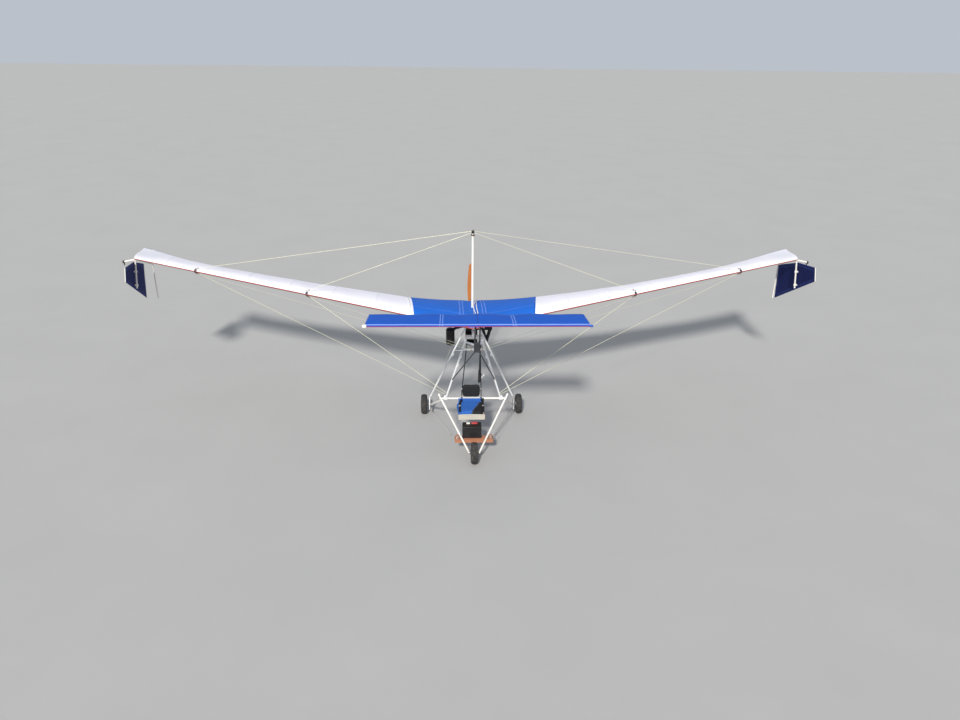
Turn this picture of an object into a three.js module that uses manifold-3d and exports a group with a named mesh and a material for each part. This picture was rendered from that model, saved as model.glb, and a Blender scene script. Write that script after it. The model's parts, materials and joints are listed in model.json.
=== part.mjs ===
// A single-seat canard ultralight aircraft: a swept, kingpost-braced wing with hanging tip rudders,
// a pusher propeller, an open frame of tubes with a swing seat, and a fixed tricycle undercarriage.
//
// Millimetres, +Y aft and +Z up, with the nose pointing to -Y. Right and left are those of somebody
// who faces the nose. Stations are measured from the point where the nose wheel touches the ground,
// and at the end the whole craft is moved forward so that its box is centred on the origin.

import * as THREE from 'three';
import { mergeVertices } from 'three/addons/utils/BufferGeometryUtils.js';
import Module from 'manifold-3d';

const wasm = await Module();
wasm.setup();

// Driving dimensions

const SEAT_GAP = 0.3;            // clearance left between two pieces that touch
const TUBE_R = 13;               // frame tubes
const KEEL_R = 26;               // keel tube under the wing root
const STAY_R = 2.5;              // sheathed wire stays
const TUBE_SIDES = 16;
const STAY_SIDES = 8;
const SAIL_STEPS = 6;            // facets along the underside of the single sail

// Wing: the leading edge runs straight from the apex to each tip
const APEX = { y: 690, z: 1684 };
const HALF_SPAN = 4950;          // at the leading edge
const TIP_RAKE = 150;            // how much farther out the trailing edge ends
const SWEEP = 1390;              // aft travel of the leading edge from apex to tip
const DIHEDRAL = 561;            // rise of the leading edge from apex to tip
const CENTRE_HALF = 850;         // half width of the coloured middle panel

// Stations across the wing with the chord there, how far the trailing edge hangs below the leading
// edge, and how flat the cloth is pulled: it is slack between the keel and the tips
const WING = [
  { station: 0, chord: 1400, drop: 94, flat: 0 },
  { station: 425, chord: 1340, drop: 155, flat: 0 },
  { station: 850, chord: 1270, drop: 185, flat: 0 },
  { station: 1500, chord: 1165, drop: 205, flat: 0 },
  { station: 2300, chord: 1055, drop: 218, flat: 0 },
  { station: 3100, chord: 965, drop: 203, flat: 0 },
  { station: 3800, chord: 890, drop: 178, flat: 0 },
  { station: 4400, chord: 850, drop: 128, flat: 0.35 },
  { station: 4750, chord: 830, drop: 74, flat: 0.8 },
  { station: HALF_SPAN, chord: 820, drop: 62, flat: 1 },
];
const FLATTENING = 0.19;         // of a flat station, in chords: four times what its middle comes down

// Sections, in chords: height of the top, depth of the belly and where it is flat, and half the
// thickness of the trailing edge. The wing's belly closes at a place on the top curve, `pocket` (0
// at the trailing edge, 1 at the nose), and behind it the wing is one sail.
const WING_SECTION = {
  camber: 0.075, belly: 0.016, flatFrom: 0.08, flatTo: 0.16, tail: 0.0045, pocket: 0.55,
};
const CANARD_SECTION = { camber: 0.042, belly: 0.016, flatFrom: 0.08, tail: 0.006 };
const CURVE_STEPS = 8;           // facets of each curve in a section

const CANARD = { half: 1295, y: -870, z: 2340, chord: 455, drop: 20 };

const WHEEL = {
  r: 150, width: 92, rimR: 78, rimWidth: 68, hubR: 20, hubOver: 6, boreR: 8.4, axleR: 8, segments: 32,
};
const MAIN = { x: 720, y: 1460, z: WHEEL.r };
const NOSE = { y: 0, z: WHEEL.r };

// Places in the frame, given for the right-hand side; the left ones are mirrored
const CORNER = { x: 385, y: 630, z: 665 };         // crossbar, front downtube and stays meet
const CROSSBAR_HALF = 475;
const FRONT_TOP = { x: 98, y: 615 };               // downtubes end in the root fittings
const REAR_TOP = { x: 50, y: 1310 };
const REAR_FOOT = { x: 632, y: 1392, z: 288 };
const NOSE_LEG_FOOT = { x: 65, y: NOSE.y, z: NOSE.z };
const NOSE_LEG_TOP = { x: 485, y: 655, z: 722 };
const ARM_TOP = { x: 415, y: CORNER.y, z: CORNER.z };
const REAR_TIE = { z: 1090, r: 7 };
const KEEL_FRONT = 585;
const KEEL_REAR = 2150;
const ROOT_FITTING = { length: 70, height: 34, saddle: 8, margin: 22 };

// Canard boom: two tubes a side leave the front downtube and meet at a head block
const BOOM_HEAD = { x: 20, y: -600, z: 1968, width: 76, length: 50, height: 110 };
const BOOM = { r: 12, tubes: [[1530, 30], [1415, -26]] };   // height on the downtube, rise at the head
const GUSSET = { thickness: 8, length: 50, height: 62 };
const BOOM_BRACE = { z: 960, r: 8 };
const CANARD_PIVOT = { y: -742, z: 2296, half: 105, r: 8, postX: 28, postR: 10 };
const CANARD_BRACKET = { x: 72, length: 60, plate: 5, lug: 8, drop: 18 };

const CRAFT_MID_Y = 1015;        // middle of the craft's length

const KINGPOST = { y: 1430, top: 2860, r: 17 };

// Side plate of the undercarriage as [y, z] corners, from the rear downtube's foot to the axle
const GEAR_PLATE = [[1372, 308], [1412, 308], [1486, 166], [1486, 128], [1312, 116], [1284, 144]];
const GEAR_PLATE_T = 10;
const COLLAR = { r: 15, nut: 12 };

// Power unit
const SHAFT_Z = 1400;
const PROP = { y: 2400, radius: 685, hubR: 52, hubDepth: 80, stations: 8 };
const ENGINE = { y: 1770, length: 300, width: 230, bottom: 1290, top: 1500 };
const CYLINDER = { r: 66, pitch: 152, bottom: 1052 };
const FINS = { count: 7, r: 92, thickness: 8, pitch: 30, sides: 16 };
const ENGINE_MOUNT = { width: 90, length: 240 };
const MUFFLER = { x: -318, y: 1740, r: 66, bottom: 1010, top: 1285, portZ: 1250 };
const AIR_BOX = { x: 225, y: 1770, width: 170, length: 150, bottom: 1262, top: 1334, portZ: 1300 };
const INTAKE = { r: 26, foot: [226, 1052], heads: [168, 284], sides: 12 };
const SHAFT_HOUSING_R = 30;

// Seat, foot bar and box
const SEAT = { x: -30, half: 180, front: 250, floorZ: 530, lipZ: 602, sheet: 4, backZ: 672 };
const CUSHION = { x: -47, half: 188, inset: 6, height: 104 };
const BACKREST = { x: -29, half: 132, depth: 52, bottom: 664, top: 868 };
const FOOT_BAR = { half: 262, front: 142, depth: 120, bottom: 232, top: 276 };
const PEDAL = { x: 226, width: 34, height: 74, depth: 28 };
const KIT_BOX = { x: -27, half: 130, front: 186, depth: 150, height: 172 };
const STICK = { x: 55, y: 60, z: 1195, topY: -40, r: 9, gripR: 15, grip: 0.32 };

// Wing tip: the hinge line leans inwards. A strut runs outwards from its top, and a fixed frame runs
// aft from it and down, on the inner side of the rudder.
const HINGE_FOOT = { x: 4990, y: 2105, z: 1788 };
const HINGE_TOP = { x: 4945, y: 2105, z: 2233 };
const HINGE = { heights: [50, 262], r: 20, length: 30, boreGap: 0.6, postR: 12 };
const TIP_STRUT = { x: 5150, y: 2166, z: 2176, r: 14, capR: 19, cap: 30 };
const TIP_FRAME = { x: 4935, y: 2700, top: 1980, bottom: 1420, r: 9 };

// Rudder outline, measured from the hinge line's foot: aft of the line and up along it
const RUDDER = {
  thickness: 16,
  offset: 26,                    // from the hinge line out to the middle of the cloth
  crown: 406,                    // the top edge bends at the hinge line
  edges: [                       // front and rear edge tube, each with its lower and upper end
    { lower: [-562, 288], upper: [-536, 490] },
    { lower: [735, -425], upper: [660, 172] },
  ],
  edgeR: 9,
  restLeft: 8.5, restRight: 2.5, // degrees; parked, both have swung to the same side
};

// Main stays. The lower ones leave the front downtube at a height `from`, and the upper ones leave
// the kingpost; both meet the leading edge at the same station.
const STAYS = [
  { name: 'lower_inner', station: 2340, from: 742 },
  { name: 'lower_outer', station: 4000, from: 720 },
  { name: 'upper_inner', station: 2340, from: 2830 },
  { name: 'upper_outer', station: 4000, from: 2848 },
];

// Finishes

const finish = (color, roughness, metalness) =>
  new THREE.MeshStandardMaterial({ color, roughness, metalness });
const BLUE_SAIL = finish(0x1f5fcf, 0.8, 0);
const WHITE_SAIL = finish(0xf0eff4, 0.8, 0);
const NAVY_SAIL = finish(0x10184f, 0.8, 0);
const ALLOY = finish(0xd2d4d6, 0.35, 0.9);
const DARK_ALLOY = finish(0x6d7075, 0.4, 0.8);
const WHITE_PAINT = finish(0xe8e6e0, 0.4, 0.1);
const BLACK_PAINT = finish(0x17181a, 0.55, 0.1);
const BLACK_RUBBER = finish(0x1b1b1c, 0.9, 0);
const BLACK_CLOTH = finish(0x141619, 0.9, 0);
const BLUE_CLOTH = finish(0x2a63b8, 0.9, 0);
const WOOD = finish(0xc8651c, 0.4, 0);
const FOOT_WOOD = finish(0xb9694a, 0.6, 0);
const STAY = finish(0xcfcdb4, 0.4, 0.5);

const craft = new THREE.Group();

// Helpers

const v = (x, y, z) => new THREE.Vector3(x, y, z);
const at = (p, sign = 1) => v(sign * p.x, p.y, p.z);
const { lerp, degToRad } = THREE.MathUtils;
const SIDES = [['left', -1], ['right', 1]];

function addMesh(name, geometry, material, place = v(0, 0, 0)) {
  const mesh = new THREE.Mesh(geometry, material);
  mesh.name = name;
  mesh.position.copy(place);
  craft.add(mesh);
  return mesh;
}

// A straight bar from one point to another
function bar(from, to, radius, sides = TUBE_SIDES) {
  const span = to.clone().sub(from);
  const geometry = new THREE.CylinderGeometry(radius, radius, span.length(), sides);
  geometry.rotateX(Math.PI / 2);
  geometry.applyQuaternion(new THREE.Quaternion().setFromUnitVectors(v(0, 0, 1), span.clone().normalize()));
  const middle = from.clone().lerp(to, 0.5);
  geometry.translate(middle.x, middle.y, middle.z);
  return geometry;
}

// A bar of its own, placed by its first end
const rod = (name, from, to, radius, material, sides) =>
  addMesh(name, bar(v(0, 0, 0), to.clone().sub(from), radius, sides), material, from);

function solidOf(geometry) {
  const bare = geometry.clone();
  bare.deleteAttribute('normal');
  bare.deleteAttribute('uv');
  const merged = mergeVertices(bare, 1e-3);
  return new wasm.Manifold(new wasm.Mesh({
    numProp: 3,
    vertProperties: Float32Array.from(merged.attributes.position.array),
    triVerts: Uint32Array.from(merged.index.array),
  }));
}

function geometryOf(solid) {
  const mesh = solid.getMesh();
  const geometry = new THREE.BufferGeometry();
  geometry.setAttribute('position', new THREE.BufferAttribute(Float32Array.from(mesh.vertProperties), 3));
  geometry.setIndex(new THREE.BufferAttribute(Uint32Array.from(mesh.triVerts), 1));
  return geometry;
}

// Joins geometries that share one frame into a single closed body
function fuse(...geometries) {
  return geometryOf(geometries.map(solidOf).reduce((whole, next) => whole.add(next)));
}

// Cuts away from a piece whatever reaches into its carriers, a small gap clear of them on every
// side, and drops the sliver that a bar leaves on the far side of a tube it ends in
function trim(mesh, ...carriers) {
  mesh.updateMatrix();
  const toLocal = mesh.matrix.clone().invert();
  let solid = solidOf(mesh.geometry);
  for (const carrier of carriers) {
    carrier.updateMatrix();
    for (const shift of [v(1, 0, 0), v(0, 1, 0), v(0, 0, 1)]) {
      for (const way of [-SEAT_GAP, SEAT_GAP]) {
        const cutter = carrier.geometry.clone();
        cutter.translate(...shift.clone().multiplyScalar(way).toArray());
        cutter.applyMatrix4(toLocal.clone().multiply(carrier.matrix));
        solid = solid.subtract(solidOf(cutter));
      }
    }
  }
  const pieces = solid.decompose().sort((a, b) => b.volume() - a.volume());
  mesh.geometry = geometryOf(pieces[0]);
  return mesh;
}

// Takes one geometry, in the mesh's own frame, out of a mesh
function bore(mesh, cutter) {
  mesh.geometry = geometryOf(solidOf(mesh.geometry).subtract(solidOf(cutter)));
  return mesh;
}

function box(x, y, z, place = v(0, 0, 0)) {
  const geometry = new THREE.BoxGeometry(x, y, z);
  geometry.translate(place.x, place.y, place.z);
  return geometry;
}

// A cylinder lying along X, Y or Z and centred on `place`
function drum(axis, radius, length, place = v(0, 0, 0), sides = TUBE_SIDES) {
  const geometry = new THREE.CylinderGeometry(radius, radius, length, sides);
  if (axis === 'x') geometry.rotateZ(-Math.PI / 2);
  if (axis === 'z') geometry.rotateX(Math.PI / 2);
  geometry.translate(place.x, place.y, place.z);
  return geometry;
}

// An outline of [y, z] corners extruded along X and centred on it
function sidePlate(corners, thickness) {
  const shape = new THREE.Shape(corners.map(([y, z]) => new THREE.Vector2(y, z)));
  const geometry = new THREE.ExtrudeGeometry(shape, { depth: thickness, bevelEnabled: false });
  geometry.translate(0, 0, -thickness / 2);
  geometry.applyMatrix4(new THREE.Matrix4().makeBasis(v(0, 1, 0), v(0, 0, 1), v(1, 0, 0)));
  return geometry;
}

// Point at height z on the straight line through two points
const atHeight = (z, from, to) => from.clone().lerp(to, (z - from.z) / (to.z - from.z));

// Wing and canard

// Top of a unit-chord section: one cubic curve from the trailing edge to the nose
const topCurve = ({ camber, tail }) => new THREE.CubicBezierCurve(
  new THREE.Vector2(1, tail),
  new THREE.Vector2(0.62, camber * 0.95),
  new THREE.Vector2(0.12, camber * 1.75),
  new THREE.Vector2(0, 0),
);

// Unit-chord section: nose at the origin, chord along +x. Where a pocket closes, the underside
// repeats the rear part of the top.
function section(outline) {
  const { belly, flatFrom, flatTo, tail, pocket } = outline;
  const top = topCurve(outline);
  const shape = new THREE.Shape();
  shape.moveTo(0, 0);
  shape.quadraticCurveTo(0.015, -belly, flatFrom, -belly);
  if (pocket) {
    shape.lineTo(flatTo, -belly);
    for (let step = 0; step < SAIL_STEPS; step += 1) {
      const point = top.getPoint(pocket * (1 - step / SAIL_STEPS));
      shape.lineTo(point.x, point.y - 2 * tail);
    }
  }
  shape.lineTo(1, -tail);
  shape.lineTo(1, tail);
  shape.bezierCurveTo(top.v1.x, top.v1.y, top.v2.x, top.v2.y, 0, 0);
  return shape;
}

// Extrudes a section in `bays` steps, then sets every point from its chord fraction and station
function panel(outline, bays, place) {
  const geometry = new THREE.ExtrudeGeometry(outline, {
    depth: 1, steps: bays, bevelEnabled: false, curveSegments: CURVE_STEPS,
  });
  const points = geometry.attributes.position;
  for (let i = 0; i < points.count; i += 1) {
    points.setXYZ(i, ...place(points.getX(i), points.getY(i), points.getZ(i)).toArray());
  }
  return geometry;
}

// The same piece on the other side of the centreline
function mirrored(geometry) {
  const other = geometry.clone();
  other.scale(-1, 1, 1);
  const points = other.attributes.position;
  const a = v(0, 0, 0);
  const b = v(0, 0, 0);
  for (let i = 0; i < points.count; i += 3) {
    a.fromBufferAttribute(points, i);
    b.fromBufferAttribute(points, i + 1);
    points.setXYZ(i, b.x, b.y, b.z);
    points.setXYZ(i + 1, a.x, a.y, a.z);
  }
  return other;
}

// Place on the wing, measured from its apex: station across, `along` and `up` in chords
function wingPoint(station, along, up) {
  const out = Math.abs(station) / HALF_SPAN;
  const next = Math.max(1, WING.findIndex((row) => row.station >= Math.abs(station)));
  const [inner, outer] = [WING[next - 1], WING[next]];
  const share = (Math.abs(station) - inner.station) / (outer.station - inner.station);
  const chord = lerp(inner.chord, outer.chord, share);
  const drop = lerp(inner.drop, outer.drop, share);
  const flat = up > 0 ? FLATTENING * lerp(inner.flat, outer.flat, share) : 0;
  return v(
    station * (1 + (TIP_RAKE / HALF_SPAN) * along),
    SWEEP * out + chord * along,
    DIHEDRAL * out - drop * along + chord * (up - flat * along * (1 - along)),
  );
}

// A wing panel through a list of stations
function wingPanel(stations) {
  const bays = stations.length - 1;
  return panel(section(WING_SECTION), bays, (along, up, t) =>
    wingPoint(stations[Math.round(t * bays)], along, up));
}

const apex = v(0, APEX.y, APEX.z);
const onWing = (station, along, up) => wingPoint(station, along, up).add(apex);
const stations = WING.map((row) => row.station);
const half = stations.filter((station) => station > 0 && station <= CENTRE_HALF);
const centrePanel = wingPanel([...half.map((station) => -station).reverse(), 0, ...half]);
const outerPanel = wingPanel([
  CENTRE_HALF + SEAT_GAP, ...stations.filter((station) => station > CENTRE_HALF),
]);
const wings = {
  centre: addMesh('wing_centre', centrePanel, BLUE_SAIL, apex),
  left: addMesh('wing_left', mirrored(outerPanel), WHITE_SAIL, apex),
  right: addMesh('wing_right', outerPanel, WHITE_SAIL, apex),
};

// The keel lies along the lowest line of the wing, and its two root fittings hold the downtubes
const bellyFront = onWing(0, WING_SECTION.flatTo, -WING_SECTION.belly);
const bellyRear = onWing(0, 1, -WING_SECTION.tail);
function keelPoint(y) {
  const z = lerp(bellyFront.z, bellyRear.z, (y - bellyFront.y) / (bellyRear.y - bellyFront.y));
  return v(0, y, z - KEEL_R - SEAT_GAP);
}
const fittingZ = (y) => keelPoint(y).z - KEEL_R + ROOT_FITTING.saddle - ROOT_FITTING.height / 2;
const rootFittings = [FRONT_TOP, REAR_TOP].map(({ x, y }) => box(
  2 * (x + ROOT_FITTING.margin), ROOT_FITTING.length, ROOT_FITTING.height, v(0, y, fittingZ(y)),
));
const keelBar = bar(keelPoint(KEEL_FRONT), keelPoint(KEEL_REAR), KEEL_R);
const keel = addMesh('keel_tube', fuse(keelBar, ...rootFittings), ALLOY);

// The kingpost stands on the keel and comes through the middle panel
const kingpost = rod(
  'kingpost', keelPoint(KINGPOST.y), v(0, KINGPOST.y, KINGPOST.top), KINGPOST.r, ALLOY,
);
trim(kingpost, keel);
trim(wings.centre, kingpost, keel);

// Frame

const crossbarEnd = { ...CORNER, x: CROSSBAR_HALF };
const crossbar = rod('crossbar', at(crossbarEnd, -1), at(crossbarEnd), TUBE_R, WHITE_PAINT);

const headMid = v(0, BOOM_HEAD.y, BOOM_HEAD.z);
const pivotMid = v(0, CANARD_PIVOT.y, CANARD_PIVOT.z);
const across = (x) => v(x, 0, 0);
const canardPosts = SIDES.map(([, sign]) => {
  const out = across(sign * CANARD_PIVOT.postX);
  return bar(headMid.clone().add(out), pivotMid.clone().add(out), CANARD_PIVOT.postR);
});
const canardMount = addMesh('canard_mount', fuse(
  box(BOOM_HEAD.width, BOOM_HEAD.length, BOOM_HEAD.height, headMid),
  drum('x', CANARD_PIVOT.r, 2 * CANARD_PIVOT.half, pivotMid),
  ...canardPosts,
), DARK_ALLOY);

const noseLegs = [];
const frontTubes = {};
const rearTubes = [];
const tieEnds = [];
const booms = {};
for (const [side, sign] of SIDES) {
  const corner = at(CORNER, sign);
  const frontTop = v(sign * FRONT_TOP.x, FRONT_TOP.y, fittingZ(FRONT_TOP.y));
  const frontTube = rod(`front_downtube_${side}`, corner, frontTop, TUBE_R, ALLOY);
  frontTubes[side] = trim(frontTube, crossbar, keel);

  const headSide = headMid.clone().add(across(sign * BOOM_HEAD.x));
  const boomTubes = BOOM.tubes.map(([height, rise]) =>
    bar(atHeight(height, corner, frontTop), headSide.clone().add(v(0, 0, rise)), BOOM.r));
  const gussetPlace = headSide.clone().add(v(0, (BOOM_HEAD.length + GUSSET.length) / 2, -4));
  const gusset = box(GUSSET.thickness, GUSSET.length, GUSSET.height, gussetPlace);
  booms[side] = addMesh(`boom_${side}`, fuse(...boomTubes, gusset), ALLOY);
  trim(booms[side], frontTube, canardMount);

  const braceTop = headSide.clone().add(v(0, 0, 8 - BOOM_HEAD.height / 2));
  const brace = rod(
    `boom_brace_${side}`, atHeight(BOOM_BRACE.z, corner, frontTop), braceTop, BOOM_BRACE.r, DARK_ALLOY,
  );
  trim(brace, frontTube, canardMount);

  // Undercarriage side: plate with its stub axle on the rear downtube's foot, and the arm to it
  const hubHalf = WHEEL.rimWidth / 2 + WHEEL.hubOver;
  const axlePiece = (from, to, radius) =>
    bar(v(sign * from, MAIN.y, MAIN.z), v(sign * to, MAIN.y, MAIN.z), radius);
  const plate = addMesh(`gear_plate_${side}`, fuse(
    sidePlate(GEAR_PLATE, GEAR_PLATE_T).translate(sign * REAR_FOOT.x, 0, 0),
    axlePiece(REAR_FOOT.x, MAIN.x + hubHalf + 1 + COLLAR.nut, WHEEL.axleR),
    axlePiece(REAR_FOOT.x, MAIN.x - hubHalf - 1, COLLAR.r),
    axlePiece(MAIN.x + hubHalf + 1, MAIN.x + hubHalf + 1 + COLLAR.nut, COLLAR.r),
  ), ALLOY);
  const rearFoot = at(REAR_FOOT, sign);
  const rearTop = v(sign * REAR_TOP.x, REAR_TOP.y, fittingZ(REAR_TOP.y));
  rearTubes.push(trim(rod(`rear_downtube_${side}`, rearFoot, rearTop, TUBE_R, ALLOY), plate, keel));
  tieEnds.push(atHeight(REAR_TIE.z, rearFoot, rearTop));
  const armFoot = v(sign * REAR_FOOT.x, MAIN.y - 40, MAIN.z);
  trim(rod(`wheel_arm_${side}`, at(ARM_TOP, sign), armFoot, TUBE_R, WHITE_PAINT), crossbar, plate);

  const legEnds = [NOSE_LEG_FOOT, NOSE_LEG_TOP].map((end) => at(end, sign));
  noseLegs.push(trim(rod(`nose_leg_${side}`, ...legEnds, TUBE_R, WHITE_PAINT), crossbar));
}
trim(rod('rear_tie', ...tieEnds, REAR_TIE.r, ALLOY), ...rearTubes);
const noseAxle = rod('nose_axle', at(NOSE_LEG_FOOT, -1), at(NOSE_LEG_FOOT), WHEEL.axleR, DARK_ALLOY);
trim(noseAxle, ...noseLegs);

// Main stays, each ending a small gap clear of the wing's cloth, at the first facets of the section
const stayEnd = v(0, 0, STAY_R + SEAT_GAP);
const noseTop = topCurve(WING_SECTION).getPoint(1 - 1 / CURVE_STEPS);
for (const [side, sign] of SIDES) {
  for (const { name, station, from } of STAYS) {
    const lower = name.startsWith('lower');
    const tubeTop = v(sign * FRONT_TOP.x, FRONT_TOP.y, fittingZ(FRONT_TOP.y));
    const start = lower ? atHeight(from, at(CORNER, sign), tubeTop) : v(0, KINGPOST.y, from);
    const end = lower
      ? onWing(sign * station, WING_SECTION.flatFrom, -WING_SECTION.belly).sub(stayEnd)
      : onWing(sign * station, noseTop.x, noseTop.y).add(stayEnd);
    const stay = rod(`stay_${name}_${side}`, start, end, STAY_R, STAY, STAY_SIDES);
    trim(stay, lower ? frontTubes[side] : kingpost);
  }
}

// Control stick, hung from the right-hand boom
const boomLine = [v(FRONT_TOP.x, FRONT_TOP.y, fittingZ(FRONT_TOP.y)), at(CORNER)];
const upperStart = atHeight(BOOM.tubes[0][0], boomLine[1], boomLine[0]);
const upperEnd = headMid.clone().add(v(BOOM_HEAD.x, 0, BOOM.tubes[0][1]));
const stickShare = (STICK.topY - upperStart.y) / (upperEnd.y - upperStart.y);
const stickTop = upperStart.clone().lerp(upperEnd, stickShare);
const stickFoot = at(STICK);
const stick = fuse(
  bar(stickFoot, stickTop, STICK.r),
  bar(stickFoot, stickFoot.clone().lerp(stickTop, STICK.grip), STICK.gripR),
);
trim(addMesh('control_stick', stick, BLACK_PAINT), booms.right);

// Canard with its bracket, turning about the pivot

const canard = addMesh('canard', panel(section(CANARD_SECTION), 2, (along, up, t) => v(
  lerp(-CANARD.half, CANARD.half, t),
  CANARD.chord * along,
  CANARD.chord * up - CANARD.drop * along,
)), BLUE_SAIL, v(0, CANARD.y, CANARD.z));

const { plate: plateDepth, lug, drop } = CANARD_BRACKET;
const plateZ = CANARD.z - CANARD_PIVOT.z - 12;
const bracketLugs = SIDES.map(([, sign]) => box(
  lug, CANARD_BRACKET.length * 0.6, plateZ + drop, v(sign * CANARD_BRACKET.x, 0, (plateZ - drop) / 2),
));
const bracket = addMesh('canard_bracket', fuse(
  box(2 * CANARD_BRACKET.x + lug, CANARD_BRACKET.length, plateDepth + 12, v(0, 0, plateZ)),
  ...bracketLugs,
), ALLOY, pivotMid);
bore(bracket, drum('x', CANARD_PIVOT.r + 0.4, 3 * CANARD_BRACKET.x));
trim(bracket, canard);

// Wheels

function wheel(name, place) {
  const half = WHEEL.width / 2;
  const rimHalf = WHEEL.rimWidth / 2;
  const tread = 0.42 * WHEEL.width;
  const tyre = [
    [WHEEL.rimR, -rimHalf], [WHEEL.r - 38, -half], [WHEEL.r - 14, -half + 8], [WHEEL.r, -half + tread * 0.7],
    [WHEEL.r, half - tread * 0.7], [WHEEL.r - 14, half - 8], [WHEEL.r - 38, half], [WHEEL.rimR, rimHalf],
    [WHEEL.rimR, -rimHalf],
  ];
  const { rimR, hubR, boreR } = WHEEL;
  const hubHalf = rimHalf + WHEEL.hubOver;
  const rim = [
    [boreR, -hubHalf], [hubR, -hubHalf], [hubR, -8], [rimR - 18, -8], [rimR - 12, -rimHalf],
    [rimR - SEAT_GAP, -rimHalf], [rimR - SEAT_GAP, rimHalf], [rimR - 12, rimHalf], [rimR - 18, 8],
    [hubR, 8], [hubR, hubHalf], [boreR, hubHalf], [boreR, -hubHalf],
  ];
  for (const [suffix, profile, material] of [['tyre', tyre, BLACK_RUBBER], ['rim', rim, WHITE_PAINT]]) {
    const outline = profile.map(([r, w]) => new THREE.Vector2(r, w));
    const geometry = new THREE.LatheGeometry(outline, WHEEL.segments);
    geometry.rotateZ(-Math.PI / 2);
    addMesh(`${name}_${suffix}`, geometry, material, place);
  }
}
wheel('nose_wheel', v(0, NOSE.y, NOSE.z));
wheel('main_wheel_left', at(MAIN, -1));
wheel('main_wheel_right', at(MAIN));

// Power unit: a two-cylinder engine hung upside down under the keel, with its shaft running aft

const hubFront = PROP.y - PROP.hubDepth / 2;
const engineMid = v(0, ENGINE.y, (ENGINE.bottom + ENGINE.top) / 2);
const keelUnder = keelPoint(ENGINE.y).z - KEEL_R + ROOT_FITTING.saddle;
const enginePieces = [
  box(ENGINE.width, ENGINE.length, ENGINE.top - ENGINE.bottom, engineMid),
  box(
    ENGINE_MOUNT.width, ENGINE_MOUNT.length, keelUnder - ENGINE.top + 10,
    v(0, ENGINE.y, (keelUnder + ENGINE.top - 10) / 2),
  ),
  bar(v(0, ENGINE.y, SHAFT_Z), v(0, hubFront - SEAT_GAP, SHAFT_Z), SHAFT_HOUSING_R),
];
for (const [, sign] of SIDES) {
  const y = ENGINE.y + (sign * CYLINDER.pitch) / 2;
  enginePieces.push(bar(v(0, y, CYLINDER.bottom), v(0, y, ENGINE.bottom + 20), CYLINDER.r, FINS.sides));
  for (let i = 0; i < FINS.count; i += 1) {
    const z = CYLINDER.bottom + 14 + i * FINS.pitch;
    enginePieces.push(drum('z', FINS.r, FINS.thickness, v(0, y, z), FINS.sides));
  }
}
const engine = trim(addMesh('engine', fuse(...enginePieces), BLACK_PAINT), keel);

const engineSide = ENGINE.width / 2;
const mufflerMid = v(MUFFLER.x, MUFFLER.y, (MUFFLER.bottom + MUFFLER.top) / 2);
const muffler = fuse(
  drum('z', MUFFLER.r, MUFFLER.top - MUFFLER.bottom, mufflerMid, 24),
  bar(v(MUFFLER.x, MUFFLER.y, MUFFLER.portZ), v(-engineSide, MUFFLER.y, MUFFLER.portZ + 70), 20),
);
trim(addMesh('muffler', muffler, BLACK_PAINT), engine);
const airBoxMid = v(AIR_BOX.x, AIR_BOX.y, (AIR_BOX.bottom + AIR_BOX.top) / 2);
const airBox = fuse(
  box(AIR_BOX.width, AIR_BOX.length, AIR_BOX.top - AIR_BOX.bottom, airBoxMid),
  bar(v(AIR_BOX.x, AIR_BOX.y, AIR_BOX.portZ), v(engineSide, AIR_BOX.y, AIR_BOX.portZ), 26),
  ...INTAKE.heads.map((x) => bar(
    v(INTAKE.foot[0], AIR_BOX.y, INTAKE.foot[1]), v(x, AIR_BOX.y, AIR_BOX.bottom + 20), INTAKE.r,
    INTAKE.sides,
  )),
);
trim(addMesh('air_box', airBox, BLACK_PAINT), engine);

// One blade: a thin lens section that widens, thins and untwists towards the tip
function blade(sign) {
  const lens = new THREE.Shape();
  lens.moveTo(-0.5, 0);
  lens.quadraticCurveTo(-0.1, 0.5, 0.5, 0);
  lens.quadraticCurveTo(-0.1, -0.2, -0.5, 0);
  const geometry = new THREE.ExtrudeGeometry(lens, {
    depth: 1, steps: PROP.stations, bevelEnabled: false, curveSegments: 4,
  });
  const points = geometry.attributes.position;
  for (let i = 0; i < points.count; i += 1) {
    const t = points.getZ(i);
    const radius = lerp(20, PROP.radius, t);
    const width = lerp(78, 46, t * t) + 30 * Math.sin(Math.PI * t);
    const thick = lerp(52, 12, Math.sqrt(t));
    const pitch = Math.atan2(260, 2 * Math.PI * Math.max(radius, 120) * 0.62);
    const across = points.getX(i) * width;
    const deep = points.getY(i) * thick;
    points.setXYZ(
      i,
      across * Math.cos(pitch) - deep * Math.sin(pitch),
      across * Math.sin(pitch) + deep * Math.cos(pitch),
      radius,
    );
  }
  if (sign < 0) geometry.rotateY(Math.PI);
  return geometry;
}
addMesh(
  'propeller',
  fuse(drum('y', PROP.hubR, PROP.hubDepth, v(0, 0, 0), 24), blade(1), blade(-1)),
  WOOD,
  v(0, PROP.y, SHAFT_Z),
);

// Seat

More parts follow.
